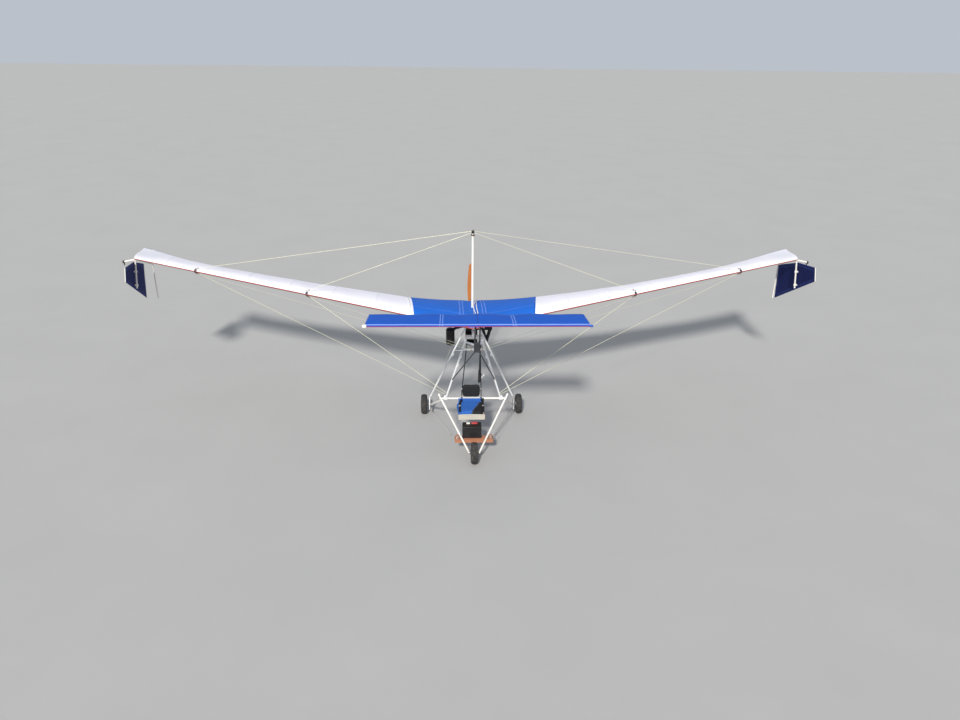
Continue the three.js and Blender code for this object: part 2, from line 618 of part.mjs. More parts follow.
const seatRear = CORNER.y - TUBE_R - SEAT_GAP;
const sheet = SEAT.sheet;
addMesh('seat_pan', sidePlate([
  [SEAT.front, SEAT.lipZ], [SEAT.front, SEAT.floorZ], [seatRear, SEAT.floorZ], [seatRear, SEAT.backZ],
  [seatRear - sheet, SEAT.backZ], [seatRear - sheet, SEAT.floorZ + sheet],
  [SEAT.front + sheet, SEAT.floorZ + sheet], [SEAT.front + sheet, SEAT.lipZ],
], 2 * SEAT.half), WHITE_PAINT, v(SEAT.x, 0, 0));
const cushionFront = SEAT.front + sheet + CUSHION.inset;
const cushionRear = seatRear - sheet - CUSHION.inset;
addMesh(
  'seat_cushion',
  box(2 * CUSHION.half, cushionRear - cushionFront, CUSHION.height),
  BLUE_CLOTH,
  v(CUSHION.x, (cushionFront + cushionRear) / 2, SEAT.floorZ + sheet + SEAT_GAP + CUSHION.height / 2),
);
addMesh(
  'seat_back',
  box(2 * BACKREST.half, BACKREST.depth, BACKREST.top - BACKREST.bottom),
  BLACK_CLOTH,
  v(BACKREST.x, CORNER.y + TUBE_R + SEAT_GAP + BACKREST.depth / 2, (BACKREST.bottom + BACKREST.top) / 2),
);

// Foot bar with its two pedals, hung under the nose legs, and the box that stands on it

const footHeight = FOOT_BAR.top - FOOT_BAR.bottom;
const pedals = SIDES.map(([, sign]) => box(
  PEDAL.width, PEDAL.depth, PEDAL.height,
  v(sign * PEDAL.x, -FOOT_BAR.depth / 2 + PEDAL.depth / 2, (PEDAL.height + footHeight) / 2 - 2),
));
const footBar = addMesh(
  'foot_bar',
  fuse(box(2 * FOOT_BAR.half, FOOT_BAR.depth, footHeight), ...pedals),
  FOOT_WOOD,
  v(0, FOOT_BAR.front + FOOT_BAR.depth / 2, (FOOT_BAR.bottom + FOOT_BAR.top) / 2),
);
trim(footBar, ...noseLegs);
addMesh(
  'kit_box',
  box(2 * KIT_BOX.half, KIT_BOX.depth, KIT_BOX.height),
  BLACK_PAINT,
  v(KIT_BOX.x, KIT_BOX.front + KIT_BOX.depth / 2, FOOT_BAR.top + SEAT_GAP + KIT_BOX.height / 2),
);

// Wing tips: a frame of tubes with the hinge post, and on the post a rudder that turns

const lean = Math.atan2(HINGE_FOOT.x - HINGE_TOP.x, HINGE_TOP.z - HINGE_FOOT.z);
for (const [side, sign] of SIDES) {
  const [foot, top, strutEnd] = [HINGE_FOOT, HINGE_TOP, TIP_STRUT].map((place) => at(place, sign));
  const capFoot = strutEnd.clone().lerp(top, TIP_STRUT.cap / strutEnd.distanceTo(top));
  const frameTop = v(sign * TIP_FRAME.x, TIP_FRAME.y, TIP_FRAME.top);
  const frameFoot = v(sign * TIP_FRAME.x, TIP_FRAME.y, TIP_FRAME.bottom);
  const tipFrame = addMesh(`tip_frame_${side}`, fuse(
    bar(foot, top, HINGE.postR),
    bar(top, strutEnd, TIP_STRUT.r),
    bar(capFoot, strutEnd, TIP_STRUT.capR),
    bar(top, frameTop, TIP_FRAME.r),
    bar(frameTop.clone().add(v(0, 0, TIP_FRAME.r)), frameFoot, TIP_FRAME.r),
  ), WHITE_PAINT);
  trim(tipFrame, wings[side]);

  const clothX = sign * RUDDER.offset;
  const [fore, aft] = RUDDER.edges;
  const outline = [fore.upper, fore.lower, aft.lower, aft.upper, [0, RUDDER.crown]];
  const cloth = sidePlate(outline, RUDDER.thickness).translate(clothX, 0, 0);
  const edges = RUDDER.edges.map(({ lower, upper }) =>
    bar(v(clothX, ...lower), v(clothX, ...upper), RUDDER.edgeR));
  const knuckles = HINGE.heights.flatMap((z) => [
    drum('z', HINGE.r, HINGE.length, v(0, 0, z)),
    box(RUDDER.offset, HINGE.r, HINGE.length, v(clothX / 2, 0, z)),
  ]);
  const rudder = addMesh(`rudder_${side}`, fuse(cloth, ...edges, ...knuckles), NAVY_SAIL, foot);
  bore(rudder, drum('z', HINGE.postR + HINGE.boreGap, 2 * RUDDER.crown));
  const rest = sign < 0 ? RUDDER.restLeft : RUDDER.restRight;
  rudder.rotation.set(0, -sign * lean, degToRad(rest));
}

// The box of the whole craft is centred on the origin
craft.position.y = -CRAFT_MID_Y;

export default craft;
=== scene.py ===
# %% [markdown]
# # A canard ultralight, dressed over its CAD frame
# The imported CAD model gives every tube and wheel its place. This script loads it as a fixed frame,
# swaps the soft and the coarse solids for detailed surfaces, and gives the rest finished materials.
# All lengths are metres, +Y is aft and +Z is up.

# %% Load the frame
import json
import math
from types import SimpleNamespace
import bmesh
import bpy
import numpy as np
from mathutils import Matrix, Vector

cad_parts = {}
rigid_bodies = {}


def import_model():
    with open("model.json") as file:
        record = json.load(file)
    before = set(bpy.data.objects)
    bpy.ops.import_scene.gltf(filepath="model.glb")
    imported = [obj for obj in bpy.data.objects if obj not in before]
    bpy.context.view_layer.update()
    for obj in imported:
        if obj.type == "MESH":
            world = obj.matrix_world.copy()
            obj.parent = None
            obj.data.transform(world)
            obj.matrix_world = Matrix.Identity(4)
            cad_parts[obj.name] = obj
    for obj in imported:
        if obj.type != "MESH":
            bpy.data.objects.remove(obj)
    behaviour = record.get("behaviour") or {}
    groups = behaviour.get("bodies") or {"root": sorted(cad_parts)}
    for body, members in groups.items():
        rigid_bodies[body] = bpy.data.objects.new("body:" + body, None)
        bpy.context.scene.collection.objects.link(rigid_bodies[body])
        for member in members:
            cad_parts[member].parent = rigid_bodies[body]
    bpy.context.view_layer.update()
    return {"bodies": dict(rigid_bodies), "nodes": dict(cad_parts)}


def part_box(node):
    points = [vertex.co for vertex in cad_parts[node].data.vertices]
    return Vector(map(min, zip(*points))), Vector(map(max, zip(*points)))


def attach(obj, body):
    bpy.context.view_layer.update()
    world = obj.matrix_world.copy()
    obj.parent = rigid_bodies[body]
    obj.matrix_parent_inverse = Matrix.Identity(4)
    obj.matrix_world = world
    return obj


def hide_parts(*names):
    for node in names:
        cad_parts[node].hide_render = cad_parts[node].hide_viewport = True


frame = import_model()

# %% [markdown]
# ## Camera
# The photograph was taken from a raised place in front of the nose. Its station point was solved
# from the wheels and the span, so the camera is built from a position and three angles. The view
# matrix has the camera's right, up and backward directions as its columns.

# %% Camera
IMAGE_WIDTH, FOCAL_PIXELS = 960, 777.0
CAMERA_PLACE = Vector((-0.318, -10.114, 5.621))
PITCH, YAW, ROLL = (math.radians(angle) for angle in (24.16, 2.39, 0.76))

forward = Vector((math.sin(YAW) * math.cos(PITCH), math.cos(YAW) * math.cos(PITCH), -math.sin(PITCH)))
level = Vector((math.cos(YAW), -math.sin(YAW), 0))
upward = level.cross(forward)
right = level * math.cos(ROLL) + upward * math.sin(ROLL)
above = upward * math.cos(ROLL) - level * math.sin(ROLL)

camera_data = bpy.data.cameras.new("camera")
camera_data.sensor_width = 36
camera_data.lens = FOCAL_PIXELS * camera_data.sensor_width / IMAGE_WIDTH
camera = bpy.data.objects.new("camera", camera_data)
view_axes = Matrix((right, above, -forward)).transposed().to_4x4()
camera.matrix_world = Matrix.Translation(CAMERA_PLACE) @ view_axes
bpy.context.collection.objects.link(camera)
bpy.context.scene.camera = camera
print("lens %.2f mm" % camera_data.lens)

# %% [markdown]
# ## Nodes in a few words
# Materials are graphs of shader nodes. `node` adds one node and wires its inputs. A `Value` is an
# output of a node: arithmetic on it adds the Math nodes, so a pattern reads like a formula.

# %% Node helpers
def node(tree, kind, inputs=None, **settings):
    """Adds a node; an input is a plain value, or a Value to be linked."""
    added = tree.nodes.new(kind)
    for key, setting in settings.items():
        setattr(added, key, setting)
    for socket, value in (inputs or {}).items():
        if isinstance(value, Value):
            tree.links.new(value.socket, added.inputs[socket])
        else:
            added.inputs[socket].default_value = value
    return added


class Value:
    """An output in a shader graph, with Python's signs for the Math node's operations."""

    def __init__(self, socket):
        self.socket = socket

    def step(self, operation, *others, clamp=False, first=True):
        """One Math node; `first` says whether this output comes before the other values."""
        values = (self, *others) if first else (*others, self)
        tree, inputs = self.socket.id_data, dict(enumerate(values))
        return Value(node(tree, "ShaderNodeMath", inputs, operation=operation, use_clamp=clamp).outputs[0])

    def __abs__(self):
        return self.step("ABSOLUTE")

    def __add__(self, other):
        return self.step("ADD", other)

    def __sub__(self, other):
        return self.step("SUBTRACT", other)

    def __rsub__(self, other):
        return self.step("SUBTRACT", other, first=False)

    def __mul__(self, other):
        return self.step("MULTIPLY", other)

    def __truediv__(self, other):
        return self.step("DIVIDE", other)

    def __rtruediv__(self, other):
        return self.step("DIVIDE", other, first=False)

    def __lt__(self, other):
        return self.step("LESS_THAN", other)

    def __gt__(self, other):
        return self.step("GREATER_THAN", other)


def named(made):
    """A node's outputs by name."""
    return {socket.name: Value(socket) for socket in made.outputs}


def split(vector):
    """The three numbers of a vector."""
    return list(named(node(vector.socket.id_data, "ShaderNodeSeparateXYZ", {0: vector})).values())


def mix(factor, first, second):
    """Colour `first` where the factor is 0 and `second` where it is 1."""
    first, second = ((*colour, 1) if isinstance(colour, tuple) else colour for colour in (first, second))
    inputs = {0: factor, 6: first, 7: second}
    return Value(node(factor.socket.id_data, "ShaderNodeMix", inputs, data_type="RGBA").outputs[2])


def ramp(value, low, high):
    """A smooth step from 0 at `low` to 1 at `high`."""
    inputs = {0: value, 1: low, 2: high}
    step = node(value.socket.id_data, "ShaderNodeMapRange", inputs, interpolation_type="SMOOTHSTEP")
    return Value(step.outputs[0])


def noise(vector, scale, detail, **inputs):
    """Noise between 0 and 1."""
    inputs = {"Vector": vector, "Scale": scale, "Detail": detail, **inputs}
    return Value(node(vector.socket.id_data, "ShaderNodeTexNoise", inputs).outputs[0])


print("node helpers ready")

# %% [markdown]
# ## Shared effects
# Cloth weave, slack creases, sewn seams, worn paint and wood grain each turn up in more than one
# material. Each is made once as a node group, and a material gives it its own values. A group puts
# out only masks, heights and colours; the shader stays in the material.

# %% Group builder
def new_group(name, inputs, outputs):
    """A node group and its inputs: None stands for a vector, a tuple for a colour, or else a number."""
    made = bpy.data.node_groups.new(name, "ShaderNodeTree")
    kinds = {type(None): "NodeSocketVector", tuple: "NodeSocketColor", float: "NodeSocketFloat"}
    for label, value in inputs.items():
        socket = made.interface.new_socket(label, in_out="INPUT", socket_type=kinds[type(value)])
        if value is not None:
            socket.default_value = value
    for label in outputs:
        kind = kinds[tuple if label == "Colour" else float]
        made.interface.new_socket(label, in_out="OUTPUT", socket_type=kind)
    return made, named(made.nodes.new("NodeGroupInput"))


def use(made, **inputs):
    """Places a group where its inputs come from, and returns its outputs by name."""
    tree = next(value.socket.id_data for value in inputs.values() if isinstance(value, Value))
    return named(node(tree, "ShaderNodeGroup", inputs, node_tree=made))


print("group builder ready")

# %% Weave
weave, given = new_group("weave", {"Vector": None, "Pitch": 0.003}, ["Height"])
waves = {0: given["Vector"], "Scale": 2 * math.pi / given["Pitch"]}
warp, weft, _ = split(Value(node(weave, "ShaderNodeVectorMath", waves, operation="SCALE").outputs[0]))
node(weave, "NodeGroupOutput", {"Height": warp.step("SINE") * weft.step("SINE")})
print("node group: weave")

# %% Creases of slack cloth
creases, given = new_group("creases", {"Vector": None, "Size": 0.3, "Fine": 0.3}, ["Height"])
size = 1.0 / given["Size"]
ridged = abs(noise(given["Vector"], size, 2, Distortion=1.2) - 0.5)
fine = noise(given["Vector"], size * 5.0, 3) * given["Fine"]
node(creases, "NodeGroupOutput", {"Height": ridged * 2.0 + fine})
print("node group: creases")

# %% Sewn seam
THREAD_HALF, THREAD_SHARE, STITCH = 0.0012, 0.68, 0.009
seam, given = new_group("seam", {"Distance": 1.0, "Run": 0.0, "Half": 0.012}, ["Tape", "Thread", "Height"])
away = abs(given["Distance"])
tape = away < given["Half"]
in_row = abs(away - given["Half"] * 0.7) < THREAD_HALF
thread = in_row * ((given["Run"] / STITCH).step("FRACT") < THREAD_SHARE)
node(seam, "NodeGroupOutput", {"Tape": tape, "Thread": thread, "Height": tape * 0.5 + thread * 0.6})
print("node group: seam")

# %% Wear and dust
wear, given = new_group("wear", {"Vector": None, "Size": 0.05, "Amount": 0.3}, ["Scuff", "Cloud", "Height"])
size = 1.0 / given["Size"]
cloud = noise(given["Vector"], size, 5, Roughness=0.6)
chips = noise(given["Vector"], size * 9.0, 4, Roughness=0.7)
scuff = ramp(chips + cloud * 0.25, 0.78 - given["Amount"] * 0.3, 0.95)
node(wear, "NodeGroupOutput", {"Scuff": scuff, "Cloud": cloud, "Height": cloud - scuff})
print("node group: wear")

# %% Wood grain
grain, given = new_group(
    "grain", {"Vector": None, "Light": (1, 1, 1, 1), "Dark": (0, 0, 0, 1), "Pitch": 0.01}, ["Colour", "Height"]
)
waves = {
    "Vector": given["Vector"], "Scale": 0.31 / given["Pitch"],
    "Distortion": 3.5, "Detail": 3.0, "Detail Scale": 0.6,
}
rings = Value(node(grain, "ShaderNodeTexWave", waves, wave_type="BANDS", bands_direction="Z").outputs[1])
tone = rings * 0.7 + noise(given["Vector"], 90.0, 4) * 0.3
node(grain, "NodeGroupOutput", {"Colour": mix(tone, given["Dark"], given["Light"]), "Height": tone})
print("shared groups:", [made.name for made in bpy.data.node_groups])

# %% [markdown]
# ## Starting a material
# Every material is a Principled shader whose plain numbers sit on its own sockets. `start_material`
# makes one and also returns the coordinates that its patterns follow: Object coordinates, which do
# not slide when the camera moves.

# %% Material helpers
def start_material(name, roughness, metallic=0.0, **sockets):
    """A Principled material; returns it with its shader and Object coordinates."""
    material = bpy.data.materials.new(name)
    material.use_nodes = True
    tree = material.node_tree
    shader = tree.nodes["Principled BSDF"]
    for label, value in {"Roughness": roughness, "Metallic": metallic, **sockets}.items():
        shader.inputs[label.replace("_", " ")].default_value = value
    return material, shader, named(node(tree, "ShaderNodeTexCoord"))["Object"]


def feed(shader, **sockets):
    """Links values to the shader's sockets by name."""
    for label, value in sockets.items():
        shader.id_data.links.new(value.socket, shader.inputs[label.replace("_", " ")])


def bump(shader, height, distance, strength=1.0):
    """Lets a height in 0..1, `distance` metres tall, tilt the shading."""
    inputs = {"Strength": strength, "Distance": distance, "Height": height}
    feed(shader, Normal=Value(node(shader.id_data, "ShaderNodeBump", inputs).outputs[0]))


def darker(colour, share):
    """A colour scaled towards black."""
    return tuple(share * channel for channel in colour)


print("material helpers ready")

# %% [markdown]
# ## Finishes of the frame
# Most tubes are polished or painted aluminium. Polished tube shows dulled patches, paint shows soil
# near the ground and a few chips, and the black engine parts are matt.

# %% Metal, paint and plastic
SOIL = (0.30, 0.26, 0.20)


def tube_material(name, colour, roughness, metallic, chip=(0.5, 0.5, 0.5), amount=0.3, dirt=0.45, **sockets):
    """A tube or housing finish: a base colour broken by dull clouds, chips, and soil near the ground."""
    material, shader, place = start_material(name, roughness, metallic, **sockets)
    worn = use(wear, Vector=place, Size=0.12, Amount=amount)
    tone = mix(worn["Cloud"] * 0.35, colour, darker(colour, 0.72))
    soiled = ramp(split(place)[2], 0.75, 0.05) * ramp(worn["Cloud"], 0.35, 0.75) * dirt
    rough = worn["Cloud"] * 0.3 + (roughness - 0.12)
    feed(
        shader, Base_Color=mix(soiled, mix(worn["Scuff"], tone, chip), SOIL),
        Roughness=rough.step("ADD", soiled * 0.5, clamp=True),
    )
    bump(shader, worn["Height"], 0.0004, 0.5)
    return material


MATT = {"Specular_IOR_Level": 0.35}
SOOT, NEAR_BLACK = (0.012, 0.012, 0.013), (0.009, 0.009, 0.010)
POLISHED = tube_material("polished_tube", (0.86, 0.87, 0.88), 0.34, 0.35, amount=0.2)
WHITE_PAINT = tube_material("white_paint", (0.80, 0.78, 0.73), 0.42, 0.0, amount=0.35)
PLATE_ALLOY = tube_material("plate_alloy", (0.40, 0.41, 0.43), 0.45, 0.6)
DARK_ALLOY = tube_material("dark_alloy", (0.045, 0.047, 0.055), 0.42, 0.4, (0.25, 0.25, 0.26), dirt=0.2)
BLACK_METAL = tube_material("black_metal", SOOT, 0.55, 0.0, (0.12, 0.115, 0.11), dirt=0.1, **MATT)
BLACK_PLASTIC = tube_material("black_plastic", NEAR_BLACK, 0.5, 0.0, (0.05, 0.05, 0.05), dirt=0.06, **MATT)
WHITE_PLASTIC = tube_material("white_plastic", (0.78, 0.77, 0.72), 0.4, 0.0, (0.6, 0.57, 0.5))
TRAY_PLASTIC = tube_material("tray_plastic", (0.50, 0.465, 0.40), 0.45, 0.0, (0.36, 0.33, 0.28), amount=0.5)
RED_PLASTIC = tube_material("red_plastic", (0.50, 0.03, 0.04), 0.4, 0.0, (0.6, 0.3, 0.3))
CANARD_RIB = tube_material("blue_rib", (0.02, 0.09, 0.45), 0.6, 0.0, dirt=0.1)
STEEL = tube_material("zinc_steel", (0.55, 0.54, 0.50), 0.35, 0.95)
CAST = tube_material("cast_alloy", (0.020, 0.020, 0.021), 0.6, 0.2, (0.2, 0.2, 0.2), dirt=0.1, **MATT)
COPPER = tube_material("copper_sleeve", (0.55, 0.27, 0.13), 0.4, 0.9)
print("metals and plastics:", len(bpy.data.materials))

# %% Wire, rubber and wood
def wire_material(name, colour):
    """Plastic-sheathed wire: the strands' lay shows as slanting bands under a glossy cover."""
    material, shader, place = start_material(name, 0.35, 0.15, Coat_Weight=0.3)
    worn = use(wear, Vector=place, Size=0.2, Amount=0.2)
    feed(shader, Base_Color=mix(worn["Cloud"] * 0.5, colour, darker(colour, 0.6)))
    bump(shader, use(weave, Vector=place, Pitch=0.006)["Height"], 0.0003, 0.6)
    return material


SHEATHED = wire_material("sheathed_wire", (0.74, 0.73, 0.52))
BLACK_CABLE = wire_material("black_cable", (0.02, 0.02, 0.022))

RUBBER, shader, place = start_material("tyre_rubber", 0.86)
worn = use(wear, Vector=place, Size=0.03, Amount=0.5)
dusty = ramp(worn["Cloud"], 0.4, 0.7) * 0.5
feed(shader, Base_Color=mix(dusty, (0.022, 0.022, 0.023), (0.11, 0.10, 0.085)))
bump(shader, worn["Height"], 0.0006, 0.6)


def wood_material(name, light, dark, pitch, roughness, coat, direction=(0, 0, 0)):
    """Wood: distorted growth bands with pores between them, under varnish or nearly bare."""
    material, shader, place = start_material(name, roughness, Coat_Weight=coat, Coat_Roughness=0.12)
    turned_place = node(shader.id_data, "ShaderNodeMapping", {"Vector": place, "Rotation": direction})
    wood = use(grain, Vector=Value(turned_place.outputs[0]), Light=(*light, 1), Dark=(*dark, 1), Pitch=pitch)
    worn = use(wear, Vector=place, Size=0.08, Amount=0.3)
    feed(shader, Base_Color=mix(worn["Scuff"] * 0.5, wood["Colour"], darker(dark, 0.6)))
    bump(shader, wood["Height"], 0.0004, 0.4)
    return material


VARNISHED = wood_material(
    "varnished_wood", (0.56, 0.20, 0.035), (0.33, 0.095, 0.014), 0.012, 0.45, 0.6, (0, math.pi / 2, 0)
)
FOOT_WOOD = wood_material("foot_bar_wood", (0.46, 0.20, 0.11), (0.28, 0.11, 0.06), 0.02, 0.45, 0.1)
print("wire, rubber and wood ready")

# %% [markdown]
# ## Sailcloth
# The wing, canard and rudders are woven polyester sailcloth, sewn from panels. Each sail's mesh
# carries an attribute called `cloth` with three numbers for every point: how far across the span it
# is, how far behind the leading edge along the cloth, and the share of the chord. Seams, hems and
# the coloured tape along the leading edge are drawn from those, so they follow the cut of the cloth.

# %% Sailcloth builder
BUMP_HEIGHT = 0.002


def sail_start(name, colour, shade, crease_size=0.35, fold=0.006, gloss=0.7):
    """Sailcloth with weave, soft creases and dust; returns what seams are added to."""
    material, shader, place = start_material(name, gloss, Specular_IOR_Level=0.22)
    cut = named(node(shader.id_data, "ShaderNodeAttribute", attribute_name="cloth"))["Vector"]
    span, run, share = split(cut)
    worn = use(wear, Vector=place, Size=0.45, Amount=0.1)
    slack = use(creases, Vector=place, Size=crease_size, Fine=0.25)["Height"] * (fold / BUMP_HEIGHT)
    woven = use(weave, Vector=cut, Pitch=0.004)["Height"] * 0.03
    return SimpleNamespace(
        material=material, shader=shader, place=place, span=span, run=run, share=share,
        colour=mix(worn["Cloud"] * 0.6, colour, shade), height=slack + woven,
    )


def add_seam(cloth, distance, along, half, tape=None, thread=(0.85, 0.85, 0.85)):
    """Lays one sewn seam over a cloth, whose line is where `distance` is 0."""
    sewn = use(seam, Distance=distance, Run=along, Half=half)
    if tape is not None:
        cloth.colour = mix(sewn["Tape"], cloth.colour, tape)
    cloth.colour = mix(sewn["Thread"] * 0.8, cloth.colour, thread)
    cloth.height += sewn["Tape"] * 0.3


def leading_tape(cloth, colour, above_edge=0.010, below_edge=0.05):
    """Colours the strip round the leading edge, mostly on the underside, where `run` is negative."""
    strip_mask = (cloth.run < above_edge) * (cloth.run > -below_edge)
    cloth.colour = mix(strip_mask, cloth.colour, colour)


def finish_sail(cloth):
    """Links the gathered colour and height to the shader."""
    feed(cloth.shader, Base_Color=cloth.colour)
    bump(cloth.shader, cloth.height, BUMP_HEIGHT, 0.7)
    return cloth.material


print("sailcloth builder ready")

# %% [markdown]
# The blue middle panel has pairs of sewn seams on each side of the keel and one across, a little
# behind the leading edge. The white outer panels have a batten pocket every 0.62 m, a white hem
# against the blue panel, and a thin red-brown tape under the leading edge.

# %% Wing cloths
SEAM_FLARE, CENTRE_HALF = 0.09, 0.85
BATTEN_START, BATTEN_PITCH = 1.36, 0.62
RED_TAPE, WHITE_TAPE, POCKET_TAPE = (0.33, 0.07, 0.05), (0.88, 0.88, 0.92), (0.80, 0.80, 0.87)
PALE_THREAD, GREY_THREAD = (0.45, 0.55, 0.85), (0.62, 0.62, 0.7)

blue = sail_start("blue_sailcloth", (0.009, 0.128, 0.59), (0.005, 0.096, 0.46))
for offset in (0.135, 0.180):
    add_seam(blue, abs(blue.span) - offset, blue.run, 0.005, (0.045, 0.16, 0.66), PALE_THREAD)
add_seam(blue, blue.run - 0.30, blue.span, 0.006, (0.035, 0.14, 0.63), (0.25, 0.38, 0.80))
add_seam(blue, blue.share - 0.985, blue.span, 0.012)
past_hem = blue.span < blue.share * -0.086 + (0.033 - CENTRE_HALF)
blue.colour = mix(past_hem, blue.colour, (0.80, 0.79, 0.86))
leading_tape(blue, RED_TAPE)
BLUE_SAIL = finish_sail(blue)

white = sail_start("white_sailcloth", (0.86, 0.85, 0.92), (0.76, 0.75, 0.84), fold=0.004)
out = abs(white.span)
bay = (out - BATTEN_START) / BATTEN_PITCH
add_seam(white, (bay - bay.step("ROUND")) * BATTEN_PITCH, white.run, 0.018, POCKET_TAPE, GREY_THREAD)
hem = out - (white.share * SEAM_FLARE + (CENTRE_HALF + 0.02))
add_seam(white, hem, white.run, 0.02, WHITE_TAPE, (0.6, 0.6, 0.7))
add_seam(white, white.share - 0.33, out, 0.01, (0.82, 0.82, 0.88), GREY_THREAD)
add_seam(white, white.share - 0.985, out, 0.012, None, GREY_THREAD)
# Painted shade: from about 4.45 m out, the white cloth is greyed towards each tip, standing in for the shade
# where the cloth curves away from the light.
white.colour = mix(ramp(out, 4.45, 4.72) * 0.45, white.colour, (0.62, 0.64, 0.70))
blue_edge = white.share * 0.117 + (CENTRE_HALF + 0.008)
white.colour = mix((white.span < blue_edge) * (white.span > 0.0), white.colour, (0.008, 0.118, 0.55))
leading_tape(white, RED_TAPE)
WHITE_SAIL = finish_sail(white)
print("wing cloths ready")

# %% Canard and rudder cloths
sleeve_cloth = sail_start("canard_cloth", (0.007, 0.092, 0.50), (0.004, 0.070, 0.39), 0.25, 0.004)
for offset in (0.407, 0.437):
    distance = abs(sleeve_cloth.span) - offset
    add_seam(sleeve_cloth, distance, sleeve_cloth.run, 0.0045, (0.06, 0.18, 0.66), PALE_THREAD)
add_seam(sleeve_cloth, sleeve_cloth.span, sleeve_cloth.run, 0.004, (0.01, 0.03, 0.22), (0.02, 0.05, 0.3))
# Painted highlight: a pale band 45 mm behind the nose, drawn with the seam group, stands in for the light
# glinting along the rounded leading edge.
nose_highlight_line = sleeve_cloth.run - 0.045
add_seam(sleeve_cloth, nose_highlight_line, sleeve_cloth.span, 0.011, (0.24, 0.36, 0.80), (0.35, 0.45, 0.85))
add_seam(sleeve_cloth, sleeve_cloth.share - 0.97, sleeve_cloth.span, 0.012, (0.12, 0.26, 0.70))
leading_tape(sleeve_cloth, (0.22, 0.03, 0.14), 0.012, 0.03)
CANARD_CLOTH = finish_sail(sleeve_cloth)

navy = sail_start("navy_sailcloth", (0.002, 0.010, 0.100), (0.001, 0.006, 0.070), 0.2, 0.004, 0.8)
add_seam(navy, navy.share - 0.028, navy.span, 0.028, (0.006, 0.018, 0.13), (0.16, 0.2, 0.4))
NAVY_SAIL = finish_sail(navy)
WEBBING_WHITE = finish_sail(sail_start("white_webbing", (0.80, 0.80, 0.82), (0.66, 0.66, 0.68), 0.05, 0.001))
print("sailcloths:", [name.name for name in (BLUE_SAIL, WHITE_SAIL, CANARD_CLOTH, NAVY_SAIL)])

# %% [markdown]
# ## Shapes from arrays
# Each shape is worked out with numpy as a grid of points, and a grid's faces follow from its size
# alone. A `part` is a pair of points and faces; parts are joined into one mesh when they belong to
# one piece, such as all the bolts of a bracket.

# %% Grids and directions
MID_Y = 1.015
X_AXIS, Y_AXIS, Z_AXIS = np.eye(3)


def craft(points):
    """Points measured from where the nose wheel meets the ground, moved into the craft's frame."""
    return np.asarray(points, float) - (0, MID_Y, 0)


def unit(vectors):
    """Vectors scaled to length 1."""
    return vectors / np.linalg.norm(vectors, axis=-1, keepdims=True)


def grid_faces(rows, columns, closed=False):
    """Quads of a grid of points that are numbered row by row; closed rows join their ends."""
    i, j = np.meshgrid(np.arange(rows - 1), np.arange(columns - (not closed)), indexing="ij")
    i, j = i.ravel(), j.ravel()
    beside = (j + 1) % columns
    quads = [i * columns + j, i * columns + beside, (i + 1) * columns + beside, (i + 1) * columns + j]
    return np.stack(quads, axis=1).tolist()


def capped_faces(rows, columns):
    """A grid with closed rows, and a face over each end."""
    last = (rows - 1) * columns
    ends = [list(range(columns))[::-1], list(range(last, last + columns))]
    return grid_faces(rows, columns, closed=True) + ends


def spokes(axis, count):
    """Unit vectors at even steps round an axis."""
    side = unit(np.cross(axis, np.eye(3)[np.argmin(np.abs(axis))]))
    angle = np.linspace(0, 2 * np.pi, count, endpoint=False)[:, None]
    return np.cos(angle) * side + np.sin(angle) * np.cross(axis, side)


print("grid of 3 x 4 points:", len(grid_faces(3, 4)), "faces")

# %% Tubes, turned shapes, straps and blocks
def tube(path, radius, sides=12):
    """A round bar along a path: centre + radius * (cos a * side + sin a * up), with flat ends."""
    path = np.asarray(path, float)
    tangent = unit(np.gradient(path, axis=0))
    side = unit(np.cross(tangent, np.eye(3)[np.argmin(np.abs(tangent).max(axis=0))]))
    up = np.cross(tangent, side)
    angle = np.linspace(0, 2 * np.pi, sides, endpoint=False)[None, :, None]
    radius = np.broadcast_to(radius, len(path))[:, None, None]
    points = path[:, None] + radius * (np.cos(angle) * side[:, None] + np.sin(angle) * up[:, None])
    return points.reshape(-1, 3), capped_faces(len(path), sides)


def turned(profile, centre, axis, segments=48):
    """A profile of (distance from the axis, place along it) turned about an axis through `centre`."""
    profile, axis = np.asarray(profile, float), unit(np.asarray(axis, float))
    points = centre + profile[:, 1, None, None] * axis + profile[:, 0, None, None] * spokes(axis, segments)
    return points.reshape(-1, 3), grid_faces(len(profile), segments, closed=True)


def strip(path, width, thick, across=X_AXIS):
    """A flat bar or strap along a path: a rectangle whose long side lies along `across`."""
    path = np.asarray(path, float)
    tangent = np.gradient(path, axis=0)
    slip = (across * tangent).sum(1, keepdims=True) / (tangent ** 2).sum(1, keepdims=True)
    across = unit(across - slip * tangent)
    up = unit(np.cross(tangent, across))
    corners = [(-0.5, -0.5), (0.5, -0.5), (0.5, 0.5), (-0.5, 0.5)]
    points = np.stack([path + a * width * across + b * thick * up for a, b in corners], axis=1)
    return points.reshape(-1, 3), capped_faces(len(path), 4)


def block(centre, size):
    """A box about a point."""
    corner = np.array([(x, y, z) for x in (-0.5, 0.5) for y in (-0.5, 0.5) for z in (-0.5, 0.5)])
    faces = [[0, 1, 3, 2], [4, 6, 7, 5], [0, 4, 5, 1], [2, 3, 7, 6], [0, 2, 6, 4], [1, 5, 7, 3]]
    return corner * size + centre, faces


def joined(parts):
    """Several parts as one list of points and one of faces."""
    starts = np.cumsum([0] + [len(points) for points, _ in parts])
    faces = [[start + i for i in face] for start, (_, part) in zip(starts, parts) for face in part]
    return np.concatenate([points for points, _ in parts]), faces


def between(a, b, share):
    """The point that lies a share of the way from a to b."""
    return a + (np.asarray(b) - a) * share


print("shape helpers ready")

# %% [markdown]
# A mesh becomes a piece when it rides on a body of the CAD model. Smooth shading with sharp edges
# above a set angle makes tubes look round and brackets look crisp, and a Bevel modifier rounds the
# edges of machined parts.

# %% Making pieces
MERGE_DISTANCE = 2e-6


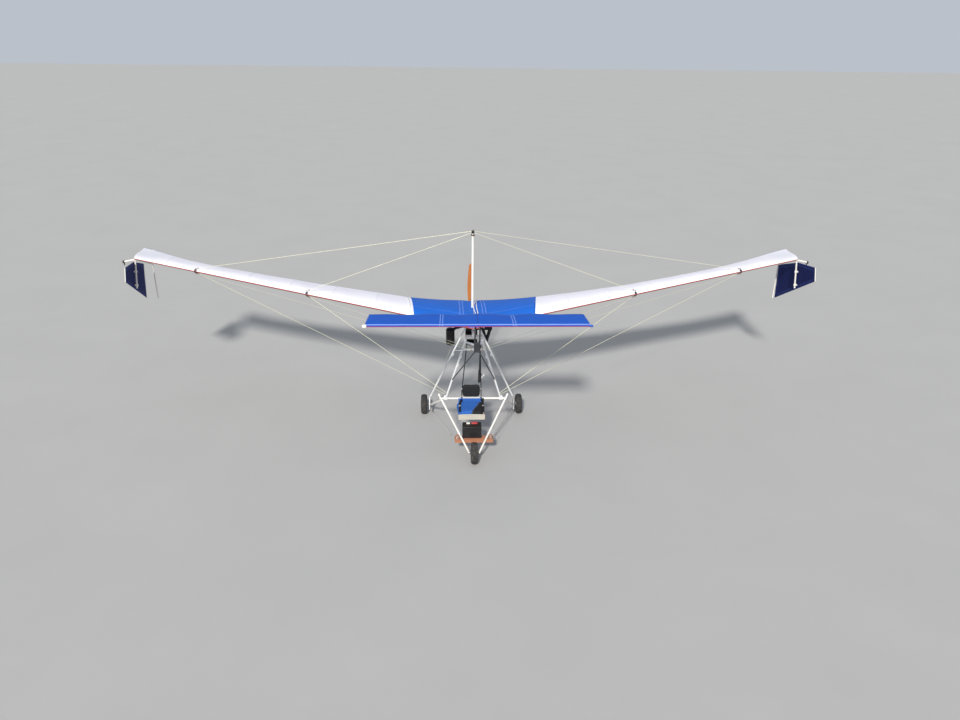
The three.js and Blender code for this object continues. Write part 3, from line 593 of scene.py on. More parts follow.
def settle_piece(name, mesh, material, body, replaces, bevel, sharp):
    """Shades a mesh, links it as an object, parents it to its body and hides the nodes it replaces."""
    mesh.shade_smooth()
    mesh.set_sharp_from_angle(angle=math.radians(sharp))
    mesh.materials.append(material)
    piece = bpy.data.objects.new(name, mesh)
    bpy.context.collection.objects.link(piece)
    if bevel:
        rounding = piece.modifiers.new("rounded edges", "BEVEL")
        rounding.width, rounding.segments = bevel, 2
        rounding.limit_method, rounding.angle_limit = "ANGLE", math.radians(40)
        rounding.use_clamp_overlap = True
    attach(piece, body)
    if replaces:
        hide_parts(*replaces)
    return piece


def make_piece(name, parts, material, body="airframe", replaces=(), bevel=0.0, sharp=35):
    """One mesh object from joined parts, with its seams merged, on a body of the CAD model."""
    points, faces = joined(parts)
    mesh = bpy.data.meshes.new(name)
    mesh.from_pydata(points.tolist(), [], faces)
    work = bmesh.new()
    work.from_mesh(mesh)
    bmesh.ops.remove_doubles(work, verts=work.verts, dist=MERGE_DISTANCE)
    bmesh.ops.dissolve_degenerate(work, edges=work.edges, dist=1e-7)
    bmesh.ops.recalc_face_normals(work, faces=work.faces)
    work.to_mesh(mesh)
    work.free()
    return settle_piece(name, mesh, material, body, replaces, bevel, sharp)


def cloth_piece(name, points, cut, material, slot, body, node_name, sharp=70, thickness=0.002, offset=-1):
    """A grid of points as cloth: it carries its `cloth` numbers, and Solidify gives it a thickness."""
    mesh = bpy.data.meshes.new(name)
    mesh.from_pydata(points.reshape(-1, 3).tolist(), [], grid_faces(*points.shape[:2]))
    mesh.attributes.new("cloth", "FLOAT_VECTOR", "POINT").data.foreach_set("vector", cut.ravel())
    piece = settle_piece(name, mesh, material, body, (node_name,), 0, sharp)
    if offset and mesh.polygons[0].normal.z < 0:
        mesh.flip_normals()
    wall = piece.modifiers.new("cloth", "SOLIDIFY")
    wall.thickness, wall.offset = thickness, offset
    return piece


def dress(node_name, material, bevel=0.0):
    """A smooth copy of a CAD node, merged from its loose triangles, in place of the node."""
    source = frame["nodes"][node_name]
    body = next(name for name, obj in frame["bodies"].items() if obj == source.parent)
    mesh = source.data.copy()
    mesh.materials.clear()
    work = bmesh.new()
    work.from_mesh(mesh)
    bmesh.ops.remove_doubles(work, verts=work.verts, dist=MERGE_DISTANCE)
    bmesh.ops.dissolve_limit(work, angle_limit=math.radians(0.5), verts=work.verts, edges=work.edges)
    work.to_mesh(mesh)
    work.free()
    return settle_piece(f"{node_name}_finished", mesh, material, body, (node_name,), bevel, 35)


print("helpers ready")

# %% [markdown]
# ## The wing
# A section of the wing is one cubic curve on top and a flat belly near the leading edge, where the
# cloth wraps round the leading-edge tube and closes into a pocket a third of the way back. Behind
# that the wing is a single cloth. Station by station the chord shrinks and the trailing edge hangs.

# %% Wing surface
APEX = np.array([0, 0.690, 1.684])
HALF_SPAN, TIP_RAKE, SWEEP, DIHEDRAL = 4.950, 0.150, 1.390, 0.561
WING = np.array([
    # station, chord, drop of the trailing edge, share of the way to a flat cloth
    (0.000, 1.400, 0.094, 0.00), (0.425, 1.340, 0.155, 0.00), (0.850, 1.270, 0.185, 0.00),
    (1.500, 1.165, 0.205, 0.00), (2.300, 1.055, 0.218, 0.00), (3.100, 0.965, 0.203, 0.00),
    (3.800, 0.890, 0.178, 0.00), (4.400, 0.850, 0.128, 0.35), (4.750, 0.830, 0.074, 0.80),
    (4.950, 0.820, 0.062, 1.00),
])
CHORD, DROP, FLAT = 1, 2, 3
FLATTENING = 0.19
WING_CAMBER, WING_TAIL, BELLY, POCKET = 0.075, 0.0045, 0.016, 0.55


def top_curve(t, camber, tail):
    """Cubic Bezier from the trailing edge (t = 0) to the nose (t = 1), in chords."""
    weights = np.stack([(1 - t) ** 3, 3 * (1 - t) ** 2 * t, 3 * (1 - t) * t ** 2, t ** 3])
    along = weights.T @ np.array([1, 0.62, 0.12, 0])
    up = weights.T @ np.array([tail, camber * 0.95, camber * 1.75, 0])
    return along, up


def section(top_count, power, nose_count, camber, tail, under):
    """The cloth's run round a section: top from the trailing edge, the nose, then the underside."""
    along, up = top_curve(np.linspace(0, 1, top_count) ** power, camber, tail)
    t = np.linspace(0, 1, nose_count)[1:]
    nose = np.stack([2 * (1 - t) * t * 0.015 + t ** 2 * 0.08, -2 * (1 - t) * t * BELLY - t ** 2 * BELLY])
    along, up = np.concatenate([np.stack([along, up]), nose, under], axis=1)
    return along, up, np.where(np.arange(along.size) < top_count, 1.0, -1.0)


def by_station(column, station):
    """A table column across the span, softened over 0.3 m so that the cloth has no kinks."""
    spread = np.linspace(-0.15, 0.15, 7)
    out = np.minimum(np.abs(np.abs(station)[..., None] + spread), HALF_SPAN)
    return np.interp(out, WING[:, 0], WING[:, column]).mean(axis=-1)


def wing_point(station, along, up):
    """Place of a point given its station, its share of the chord and its height in chords. Towards
    the tips the cloth above the chord line comes down by a parabola along the chord."""
    out = np.abs(station) / HALF_SPAN
    chord, drop = by_station(CHORD, station), by_station(DROP, station)
    up = up - (np.asarray(up) > 0) * FLATTENING * by_station(FLAT, station) * along * (1 - along)
    return craft(APEX + np.stack([
        station * (1 + TIP_RAKE / HALF_SPAN * along),
        SWEEP * out + chord * along,
        DIHEDRAL * out - drop * along + chord * up,
    ], axis=-1))


print("wing surface ready")

# %% [markdown]
# The cloth is never flat between its battens: it sags a few millimetres there, a batten stands
# proud as a slim ridge, and small slack folds run back from the leading edge. Those are added to the
# height as simple waves, so that light and outline both show them.

# %% Sails
def sail(side, ends, flares, columns, material, slot, relief):
    """A wing panel between two stations, wrapped round the leading edge, as a cloth 2 mm thick."""
    shut_along, shut_up = (float(place[0]) for place in top_curve(np.array([POCKET]), WING_CAMBER, WING_TAIL))
    close = np.linspace((0.16, -BELLY), (shut_along, shut_up - 0.003), 8)[1:].T
    under = np.concatenate([[(0.12, 0.16), (-BELLY, -BELLY)], close], axis=1)
    along, up, facing = section(44, 0.85, 7, WING_CAMBER, WING_TAIL, under)
    inner, outer = (end + flare * along[None] for end, flare in zip(ends, flares))
    station = inner + (outer - inner) * np.linspace(0, 1, columns)[:, None]
    follows = np.clip(facing, 0, 1)
    follows[-7:] = np.linspace(0, 1, 8)[1:]
    wide = np.broadcast_to(along, station.shape)
    points = wing_point(station, wide, up + relief(station, along[None]) * follows)
    cut = np.stack([station, wide * by_station(CHORD, station) * facing, wide], axis=-1)
    piece = cloth_piece(f"sail_{side}", points, cut, material, slot, "airframe", f"wing_{side}")


def slack_folds(station, along, depth):
    """Shallow folds that fan out from the leading edge, in chords."""
    fan = np.sin(station * 9.0 + along * 5.0) * np.sin(station * 3.1 - along * 2.0)
    return depth * fan * np.sin(np.pi * np.clip(along, 0, 1)) ** 0.8


def outer_relief(station, along):
    """Cloth sagging between battens, each batten a ridge, and the left sail's fuller rear edge."""
    bay = (np.abs(station) - BATTEN_START) / BATTEN_PITCH
    offset = (bay - np.round(bay)) * BATTEN_PITCH
    ridge = 0.003 * np.exp(-((offset / 0.016) ** 2)) * (along > 0.03)
    sag = -0.007 * np.sin(np.pi * np.abs(offset) / BATTEN_PITCH) ** 2
    share = np.clip((-station - CENTRE_HALF - 0.1) / 3.25, 0, 1)
    fuller = 0.034 * np.sin(np.pi * share) ** 0.7 * along ** 2
    return fuller + ridge + (sag + slack_folds(station, along, 0.0018)) * np.sin(np.pi * np.clip(along, 0, 1))


def centre_relief(station, along):
    """Long folds from the apex to the trailing edge, and the cloth lying over the keel."""
    keel = 0.004 * np.exp(-((station / 0.03) ** 2))
    return keel + slack_folds(station, along, 0.0045) + 0.002 * np.sin(22 * station) * along * (1 - along)


ends, flares = (-CENTRE_HALF, CENTRE_HALF), (-SEAM_FLARE, SEAM_FLARE)
sail("centre", ends, flares, 200, BLUE_SAIL, "blue_sailcloth", centre_relief)
for side, sign in (("left", -1), ("right", 1)):
    ends = (sign * (CENTRE_HALF + 0.001), sign * HALF_SPAN)
    sail(side, ends, (sign * SEAM_FLARE, 0.0), 400, WHITE_SAIL, "white_sailcloth", outer_relief)
print("sails: 3 cloths")

# %% [markdown]
# ## The canard
# The small front wing is a cloth sleeve over ribs. The cloth is wrapped round the section from the
# upper trailing edge to the lower one, sinks a little between its ribs, and each open end shows the
# end rib and the plugged end of the leading-edge tube.

# %% Canard cloth
CANARD_PLACE = np.array([0, -0.870, 2.340])
CANARD_CHORD, CANARD_DROP, CANARD_CAMBER, CANARD_TAIL = 0.455, 0.020, 0.042, 0.006
CANARD_HALF, CANARD_RAKE, RIB_PITCH = 1.292, 0.010, 0.287


def canard_point(span, along, up):
    """Place of a point of the canard, whose trailing edge is a little shorter than its nose."""
    return craft(CANARD_PLACE + np.stack([
        span * (1 - CANARD_RAKE * along), CANARD_CHORD * along, CANARD_CHORD * up - CANARD_DROP * along,
    ], axis=-1))


under = np.linspace((0.08, -BELLY), (1, -CANARD_TAIL), 14)[1:].T
along, up, facing = section(30, 0.8, 6, CANARD_CAMBER, CANARD_TAIL, under)
span, wide = np.meshgrid(np.linspace(-CANARD_HALF, CANARD_HALF, 240), along, indexing="ij")
inside = np.clip(wide, 0, 1)
between_ribs = np.sin(np.pi * span / RIB_PITCH) ** 2 * np.sin(np.pi * inside)
ripple = 0.020 * np.sin(10.5 * span + 0.8) * (1 - (span / CANARD_HALF) ** 2) * inside ** 3
points = canard_point(span, wide, up - 0.008 * between_ribs * facing + ripple)
cut = np.stack([span, wide * CANARD_CHORD * facing, wide], axis=-1)
sleeve_piece = cloth_piece("canard_cloth", points, cut, CANARD_CLOTH, "blue_sailcloth", "canard", "canard")

# %% Canard ribs and ends
ribs = []
for sign in (-1, 1):
    outline = canard_point(np.full(along.size, sign * (CANARD_HALF - 0.004)), 0.02 + 0.95 * along, up * 0.86)
    face = np.concatenate([outline, outline - (sign * 0.012, 0, 0)])
    ribs.append((face, capped_faces(2, along.size)))
make_piece("canard_end_ribs", ribs, CANARD_RIB, "canard")
share = np.linspace(0, 1, 8)
for side, sign, reach, thick, material, slot in (
    ("left", -1, 0.030, 0.0210, WHITE_PLASTIC, "white_plastic"),
    ("right", 1, 0.034, 0.0150, CANARD_RIB, "blue_sailcloth"),
):
    out = sign * (CANARD_HALF - 0.020 + (reach + 0.020) * share)
    line = canard_point(out, np.full(8, 0.045), np.full(8, 0.004))
    radius = thick * np.sqrt(np.clip(1 - (np.clip(share - 0.8, 0, 1) / 0.22) ** 2, 0.02, 1))
    make_piece(f"canard_{side}_cap", [tube(line, radius, 20)], material, "canard")


print("canard: ribs and ends")

# %% [markdown]
# ## Tip rudders
# Each rudder is a navy cloth laced between two upright tubes, and turns on the leaning hinge post.
# The mesh is worked out flat in the hinge's own axes, then leaned and turned as it was parked.

# %% Rudders
HINGE_FOOT = np.array([4.990, 2.105, 1.788])
LEAN = math.atan2(0.045, 0.445)
FORE = np.array([(-0.562, 0.288), (-0.536, 0.490)])
AFT = np.array([(0.735, -0.425), (0.660, 0.172)])
CROWN = np.array((0.0, 0.406))
CLOTH_OFFSET, HINGE_HEIGHTS = 0.026, (0.050, 0.262)
KNUCKLE = [(0.0128, -0.015), (0.019, -0.015), (0.020, -0.013), (0.020, 0.013), (0.019, 0.015), (0.0128, 0.015)]
KNUCKLE += KNUCKLE[:1]


def on_hinge(local, sign, rest):
    """Local points (out, aft, up along the hinge) leaned with the post and turned by the rest angle."""
    x, y, z = np.moveaxis(np.asarray(local, float), -1, 0)
    c, s = math.cos(math.radians(rest)), math.sin(math.radians(rest))
    x, y = c * x - s * y, s * x + c * y
    lean = -sign * LEAN
    x, z = math.cos(lean) * x + math.sin(lean) * z, math.cos(lean) * z - math.sin(lean) * x
    return craft(HINGE_FOOT * (sign, 1, 1) + np.stack([x, y, z], axis=-1))


def rudder_cloth(sign, rest, rows=70, columns=36):
    """The cloth between its edges: bottom edge straight, top edge bent at the crown, belly outwards."""
    u = np.linspace(0, 1, rows)[:, None]
    v = np.linspace(0, 1, columns)[None]
    bottom = FORE[0] + (AFT[0] - FORE[0]) * u
    bend = -FORE[1][0] / (AFT[1][0] - FORE[1][0])
    fore_top = FORE[1] + (CROWN - FORE[1]) * np.clip(u / bend, 0, 1)
    top = fore_top + (AFT[1] - CROWN) * np.clip((u - bend) / (1 - bend), 0, 1)
    flat = bottom[:, None] + (top - bottom)[:, None] * v[..., None]
    height = np.linalg.norm(top - bottom, axis=1)[:, None]
    from_side, from_end = np.minimum(u, 1 - u) * 1.25, np.minimum(v, 1 - v) * height
    belly = 0.010 * np.sin(np.pi * u) * np.sin(np.pi * v) + 0.0015 * np.sin(40 * u + 9 * v) * np.sin(np.pi * v)
    local = np.stack([sign * (CLOTH_OFFSET + belly), flat[..., 0], flat[..., 1]], axis=-1)
    run = np.where(from_end < from_side, flat[..., 0], flat[..., 1])
    cut = np.stack([run, flat[..., 1], np.minimum(from_side, from_end)], axis=-1)
    return on_hinge(local, sign, rest), cut


for side, sign, rest in (("left", -1, 8.5), ("right", 1, 2.5)):
    name, body = f"rudder_cloth_{side}", f"rudder_{side}"
    cloth = cloth_piece(name, *rudder_cloth(sign, rest), NAVY_SAIL, "navy_sailcloth", body, body, 60, 0.0025, 0)
    tubes, knuckles = [], []
    for lower, upper in (FORE, AFT):
        line = np.linspace((sign * CLOTH_OFFSET, *lower), (sign * CLOTH_OFFSET, *upper), 8)
        tubes.append(tube(on_hinge(line, sign, rest), 0.0062, 16))
    for height in HINGE_HEIGHTS:
        knuckles += [turned(KNUCKLE, (0, 0, height), Z_AXIS, 32)]
        knuckles += [block((sign * 0.022, 0, height), (0.010, 0.030, 0.026))]
        for y in (-0.024, 0.024):
            knuckles += [tube([(0, y, height), (sign * (CLOTH_OFFSET + 0.008), y, height)], 0.003, 6)]
    tubes += [(on_hinge(points, sign, rest), faces) for points, faces in knuckles]
    make_piece(f"rudder_tubes_{side}", tubes, WHITE_PAINT, body, bevel=0.001)
print("rudders: two cloths on tubes")

# %% [markdown]
# ## Wheels
# The tyres are small slick-shouldered ones with three grooves and cross cuts in the tread. The
# profile is turned about the axle, and the cross cuts lower the tread at every sixth step.

# %% Tyres
WHEEL_R, HALF_WIDTH, RIM_R = 0.150, 0.046, 0.078
WHEELS = {
    "nose_wheel": craft((0, 0, WHEEL_R)),
    "main_wheel_left": craft((-0.72, 1.46, WHEEL_R)),
    "main_wheel_right": craft((0.72, 1.46, WHEEL_R)),
}
TYRE = np.array([
    # radius, place across, share of the cross cut
    (RIM_R + 0.0005, -0.030, 0), (0.084, -0.036, 0), (0.092, -0.041, 0), (0.104, -0.0455, 0),
    (0.116, -HALF_WIDTH, 0), (0.127, -0.045, 0), (0.136, -0.041, 0.6), (0.1425, -0.035, 1),
    (0.1465, -0.028, 1), (0.1485, -0.021, 1), (0.1449, -0.0195, 0), (0.1449, -0.0165, 0),
    (0.1493, -0.015, 1), (0.1499, -0.003, 1), (0.1455, -0.0022, 0),
])
TYRE = np.concatenate([TYRE, TYRE[::-1] * (1, -1, 1), TYRE[:1]])
STEPS, CUT_EVERY, CUT_DEPTH = 84, 6, 0.0030


def tyre(centre):
    """The tyre profile turned about the axle, with the tread lowered at every sixth step."""
    points, faces = turned(TYRE[:, :2], centre, X_AXIS, STEPS)
    around = np.tile(np.arange(STEPS), len(TYRE))
    cut = np.repeat(TYRE[:, 2], STEPS) * (around % CUT_EVERY == 0) * CUT_DEPTH
    return points - cut[:, None] * unit((points - centre) * (0, 1, 1)), faces


for name, centre in WHEELS.items():
    make_piece(f"{name}_tread", [tyre(centre)], RUBBER, name, (f"{name}_tyre",), sharp=30)
print("tyres: 84 steps round")

# %% Rims and hubs
RIM = [
    (0.0778, -0.033), (0.0778, 0.033), (0.0745, 0.0335), (0.071, 0.031), (0.068, 0.024), (0.066, 0.012),
    (0.060, 0.007), (0.024, 0.007), (0.021, 0.010), (0.021, 0.038), (0.019, 0.040), (0.0084, 0.040),
]
RIM = RIM + [(r, -w) for r, w in RIM[::-1]][:-1] + [RIM[0]]
BEARING = [(0.0086, 0.0), (0.0175, 0.0), (0.0175, 0.0012), (0.0086, 0.0012), (0.0086, 0.0)]
VALVE = np.array([0.020, 0.060 * math.cos(1.0), 0.060 * math.sin(1.0)])


def directions(count, first, plane):
    """Unit vectors at even steps in the plane of two axes."""
    angle = np.radians(first + 360 / count * np.arange(count))
    return np.cos(angle)[:, None] * plane[0] + np.sin(angle)[:, None] * plane[1]


for name, centre in WHEELS.items():
    parts = [turned(RIM, centre, X_AXIS, 64)]
    for spoke in directions(5, 18, (Y_AXIS, Z_AXIS)):
        for face in (-1, 1):
            line = [centre + (face * 0.011, 0, 0) + spoke * r for r in (0.020, 0.067)]
            parts.append(strip(np.linspace(*line, 4), 0.012, 0.012, np.cross(spoke, X_AXIS)))
    make_piece(f"{name}_hub", parts, WHITE_PLASTIC, name, (f"{name}_rim",), bevel=0.0012)
    steel_parts = [tube([centre + VALVE, centre + VALVE + (0.016, 0, 0)], 0.003, 10)]
    for face in (-1, 1):
        steel_parts.append(turned(BEARING, centre + (face * 0.0395, 0, 0), (face, 0, 0), 32))
    make_piece(f"{name}_bearings", steel_parts, STEEL, name)
print("rims: 5 spokes, two bearings and a valve each")

# %% [markdown]
# ## The frame
# The tubes have the right shape in the CAD model, so each is a smooth copy of its node with a better
# finish: polished aluminium for the downtubes and booms, dull aluminium for the keel, its folded
# fittings, the rear tie and the gear plates, dark alloy for the boom's braces and the axle, and white
# paint for the crossbar, the kingpost and the wheel and nose legs.

# %% Frame tubes
def both(*names):
    """Each name with its left and its right side."""
    return [f"{name}_{side}" for side in ("left", "right") for name in names]


FINISHES = (
    (POLISHED, ["canard_bracket", *both("front_downtube", "rear_downtube", "boom")]),
    (WHITE_PAINT, ["crossbar", "kingpost", *both("nose_leg", "wheel_arm", "tip_frame")]),
    (DARK_ALLOY, ["canard_mount", "nose_axle", *both("boom_brace")]),
    (PLATE_ALLOY, ["keel_tube", "rear_tie", *both("gear_plate")]),
    (SHEATHED, both("stay_lower_inner", "stay_lower_outer", "stay_upper_inner", "stay_upper_outer")),
)
for material, names in FINISHES:
    for name in names:
        dress(name, material)
print("frame nodes finished:", sum(len(names) for _, names in FINISHES))

# %% [markdown]
# Where tubes meet there are folded brackets, sleeves, bolts and nylon locknuts. They repeat, so a
# `bolt` is one part with a washer, a head and a nut, and a short table says where each goes.

# %% Bolts and sleeves
CORNER, FRONT_TOP = np.array([0.385, 0.630, 0.665]), np.array([0.098, 0.615, 1.560])
REAR_FOOT, REAR_TOP = np.array([0.632, 1.392, 0.288]), np.array([0.050, 1.310, 1.512])
NOSE_FOOT, NOSE_TOP = np.array([0.065, 0.0, 0.150]), np.array([0.485, 0.655, 0.722])
HEAD, TUBE_R = np.array([0.0, -0.600, 1.968]), 0.013
BAR_END = ((0.4752, 0.630, 0.665), (0.4790, 0.630, 0.665))
PLATE_BOLTS = ((1.396, 0.272), (1.424, 0.222), (1.318, 0.134))


def bolt(centre, axis, length, radius=0.003):
    """A bolt through a tube: shank, hexagon head and nut, washers."""
    axis = unit(np.asarray(axis, float))
    a, b = centre - axis * length / 2, centre + axis * length / 2
    return [
        tube([a, b], radius, 8),
        tube([a - axis * 0.0045, a], radius * 1.9, 6), tube([b, b + axis * 0.005], radius * 1.8, 6),
        tube([a, a + axis * 0.001], radius * 2.4, 12), tube([b - axis * 0.001, b], radius * 2.4, 12),
    ]


def sleeve(a, b, share, length=0.05, radius=0.0165):
    """A collar round the tube from a to b, chamfered at both ends."""
    h, bore = length / 2, TUBE_R * 0.98
    profile = [(radius - 0.0022, -h), (radius, -h + 0.002), (radius, h - 0.002), (radius - 0.0022, h)]
    profile += [(bore, h), (bore, -h), profile[0]]
    return turned(profile, between(a, b, share), b - a, 24)


steel_parts, sleeve_parts, plug_parts = [], [], []
for sign in (-1, 1):
    flip = (sign, 1, 1)
    ends = (CORNER, FRONT_TOP, REAR_FOOT, REAR_TOP, NOSE_FOOT, NOSE_TOP)
    corner, top, foot, rear_top, nose_foot, nose_top = (craft(end * flip) for end in ends)
    for a, b, shares in ((corner, top, (0.035, 0.965)), (foot, rear_top, (0.02, 0.96))):
        for share in shares:
            steel_parts += bolt(between(a, b, share), Y_AXIS, 0.034)
    for share in (0.03, 0.955, 0.30):
        steel_parts += bolt(between(nose_foot, nose_top, share), (0.3 * sign, 0.9, -0.4), 0.034)
    sleeve_parts += [sleeve(corner, top, 0.58), sleeve(corner, top, 0.72), sleeve(foot, rear_top, 0.60)]
    sleeve_parts.append(sleeve(nose_foot, nose_top, 0.315, 0.06))
    plug_parts.append(tube(craft(BAR_END) * flip, 0.0122, 20))
    step = unit(nose_top - nose_foot)
    plug_parts.append(tube([nose_top + step * 0.0002, nose_top + step * 0.004], 0.0122, 20))
    for place in PLATE_BOLTS:
        steel_parts += bolt(craft((sign * REAR_FOOT[0], *place)), X_AXIS, 0.018)
make_piece("frame_bolts", steel_parts, STEEL)
make_piece("tube_sleeves", sleeve_parts, POLISHED)
make_piece("tube_plugs", plug_parts, BLACK_PLASTIC, bevel=0.0012)
print("bolts and nuts:", len(steel_parts), "sleeves:", len(sleeve_parts))

# %% Corner brackets
BRACKET = 0.6 * np.array([
    (-0.050, -0.026), (0.030, -0.030), (0.052, 0.012), (0.012, 0.060), (-0.030, 0.070), (-0.052, 0.020),
])
bracket_parts = []
for sign in (-1, 1):
    corner = craft(CORNER * (sign, 1, 1))
    for y in (-0.0158, 0.0158):
        front = np.stack([-sign * BRACKET[:, 0], np.full(6, y), BRACKET[:, 1]], axis=1) + corner
        back = front + (0, math.copysign(0.0025, y), 0)
        bracket_parts.append((np.concatenate([front, back]), capped_faces(2, 6)))
    for x, z in ((0.018, 0.0), (-0.018, -0.002), (-0.010, 0.030)):
        bracket_parts += bolt(corner + (sign * x, 0, z), Y_AXIS, 0.040)
make_piece("corner_brackets", bracket_parts, POLISHED, bevel=0.0008)
print("corner brackets: 2 pairs")

# %% [markdown]
# ## Rigging
# The main stays are CAD solids. Each ends in a loop round a thimble, pressed shut with a copper
# sleeve, and is fixed to a small dark tang. The lighter wires are modelled here: from the boom head
# to the leading edge, from the kingpost to both ends of the keel, from the gear's side plates up to
# the keel's rear end, and from the plates to the foot bar.

# %% Wire ends
KINGPOST_TOP, KEEL_REAR, KEEL_FRONT = craft([(0, 1.430, 2.848), (0, 2.135, 1.575), (0, 0.640, 1.700)])
LOOP = 0.010
thin, copper_parts, tang_parts, loop_parts = [], [], [], []


def leading_edge(station, along, up):
    """A point of the wing's leading edge."""
    return wing_point(np.array(float(station)), np.array(along), np.array(up))


def loop_end(place, away):
    """Thimble loop and pressed sleeve at the end of a wire that leaves a place towards `away`."""
    axis = unit(away - place)
    side = unit(np.cross(axis, (0, 1, 0.3)))
    angle = np.linspace(0, 2 * np.pi, 25)[:, None]
    circle = place + LOOP * 1.2 * axis + LOOP * (np.cos(angle) * axis * 1.3 + np.sin(angle) * side * 0.7)
    loop_parts.append(tube(circle, 0.0018, 8))
    start = place + axis * LOOP * 2.6
    copper_parts.append(tube([start, start + axis * 0.022], 0.0042, 10))
    return start


def wire(a, b):
    """A thin wire with a loop at each end; returns where it starts and ends."""
    ends = [loop_end(a, b), loop_end(b, a)]
    thin.append(tube(ends, 0.0013, 6))
    return ends


TANG = np.array([(0, -0.008, 0.004), (0, 0.006, 0.017), (0, 0.022, 0.026)])
UNDER_TANG = np.array([(0, -0.006, -0.004), (0, 0.004, -0.022), (0, 0.040, -0.026)])
for sign in (-1, 1):
    for station, head_drop in ((2.34, 0.02), (4.00, 0.045)):
        fitting = leading_edge(sign * station, 0.015, 0.002)
        tang_parts += [strip(fitting + TANG, 0.034, 0.005), strip(fitting + UNDER_TANG, 0.030, 0.004)]
        tang_parts += bolt(fitting + (0, 0.024, 0.0), (0, 0.1, 1), 0.085)
        low = leading_edge(sign * station, 0.06, -BELLY) + (0, 0, -0.012)
        wire(low, craft(HEAD + (sign * 0.034, 0.01, -head_drop)))
        loop_end(low + (0, 0.01, 0), craft(CORNER * (sign, 1, 1)))
        loop_end(leading_edge(sign * station, 0.045, 0.045) + (0, 0, 0.008), KINGPOST_TOP)
for y, low in ((0.012, KEEL_REAR), (-0.012, KEEL_FRONT)):
    ends = [loop_end(KINGPOST_TOP + (0, y, -0.02), low), loop_end(low, KINGPOST_TOP)]
    thin.append(tube(ends, 0.0013, 6))
for sign in (-1, 1):
    wire(*craft([(sign * 0.627, 1.372, 0.308), (sign * 0.020, 2.120, 1.530)]))
    a, b = wire(*craft([(sign * 0.621, 1.300, 0.136), (sign * 0.252, 0.170, 0.262)]))
    loop_parts.append(tube([between(b, a, 0.10), between(b, a, 0.18)], 0.0045, 6))
make_piece("rigging_wires", thin, SHEATHED)
make_piece("pressed_sleeves", copper_parts, COPPER)
make_piece("thimbles", loop_parts, STEEL)
make_piece("leading_edge_tangs", tang_parts, DARK_ALLOY, bevel=0.0008)
print("thin wires:", len(thin), "sleeves:", len(copper_parts))

# %% Kingpost cap and straps over the middle panel
CAP = [
    (0.0, 0.016), (0.010, 0.0155), (0.016, 0.012), (0.0195, 0.004), (0.020, -0.030), (0.0172, -0.031),
    (0.0172, -0.002), (0.0, -0.001),
]
COLLAR = [
    (0.0172, -0.075), (0.024, -0.075), (0.025, -0.072), (0.025, -0.060), (0.024, -0.057), (0.0172, -0.057),
    (0.0172, -0.075),
]
parts = [
    turned(CAP, craft((0, 1.430, 2.848)), Z_AXIS, 32), turned(COLLAR, craft((0, 1.430, 2.860)), Z_AXIS, 32),
]
make_piece("kingpost_cap", parts, BLACK_PLASTIC)
straps = []
share = np.linspace(0.18, 0.86, 26)
along, up = top_curve(np.linspace(1, 0, 200), WING_CAMBER, WING_TAIL)
for start_x, end_x, bow in ((0.036, 0.062, -0.030), (0.070, 0.072, -0.012)):
    across_x = start_x + (end_x - start_x) * share + bow * np.sin(np.pi * (share - 0.18) / 0.68)
    height = np.interp(share, along, up) + 0.0065 + 0.004 * np.sin(9 * share)
    straps.append(strip(wing_point(across_x, share, height), 0.012, 0.0016))
make_piece("sail_straps", straps, WEBBING_WHITE)
print("kingpost cap and two straps")

# %% [markdown]
# ## The propeller
# A two-blade wooden propeller. Each blade is a lens section that widens, thins and untwists towards
# a rounded tip; near the hub it thickens into the boss. A steel plate with six bolts clamps it.

# %% Propeller
PROP_PLACE, PROP_R, ROOT_R, PROP_PITCH = craft((0, 2.400, 1.400)), 0.685, 0.020, 0.260
BOSS = [(0.0, -0.0395), (0.049, -0.0395), (0.052, -0.036), (0.052, 0.036), (0.049, 0.0395), (0.0, 0.0395)]
PLATE = [
    (0.0, 0.0390), (0.044, 0.0390), (0.045, 0.0398), (0.045, 0.0415), (0.044, 0.0425), (0.012, 0.0425),
    (0.012, 0.046), (0.0, 0.046),
]


def blade(sign, stations=64, around=26):
    """Blade sections from the boss to the tip: chord, thickness and pitch as functions of radius."""
    t = np.linspace(0, 1, stations)[:, None]
    radius = ROOT_R + (PROP_R - ROOT_R - 0.0005) * t
    rounding = np.sqrt(np.clip(1 - (np.clip(t - 0.94, 0, 1) / 0.06) ** 2, 0.0009, 1))
    chord = (0.078 + (0.046 - 0.078) * t ** 2 + 0.030 * np.sin(np.pi * t)) * rounding
    thick = (0.052 + (0.012 - 0.052) * np.sqrt(t)) * rounding
    pitch = np.arctan2(PROP_PITCH, 2 * np.pi * np.maximum(radius, 0.120) * 0.62)
    angle = np.linspace(0, 2 * np.pi, around, endpoint=False)
    upper = 0.5 * np.sin(angle) * (1 - 0.35 * np.cos(angle)) * 0.62
    x = -0.5 * np.cos(angle) * chord
    y = (np.where(upper > 0, upper, upper * 0.5) + 0.02) * thick
    turned_x = x * np.cos(pitch) - y * np.sin(pitch)
    turned_y = x * np.sin(pitch) + y * np.cos(pitch)
    points = np.stack([sign * turned_x, turned_y, sign * np.broadcast_to(radius, x.shape)], axis=-1)
    return points.reshape(-1, 3) + PROP_PLACE, capped_faces(stations, around)


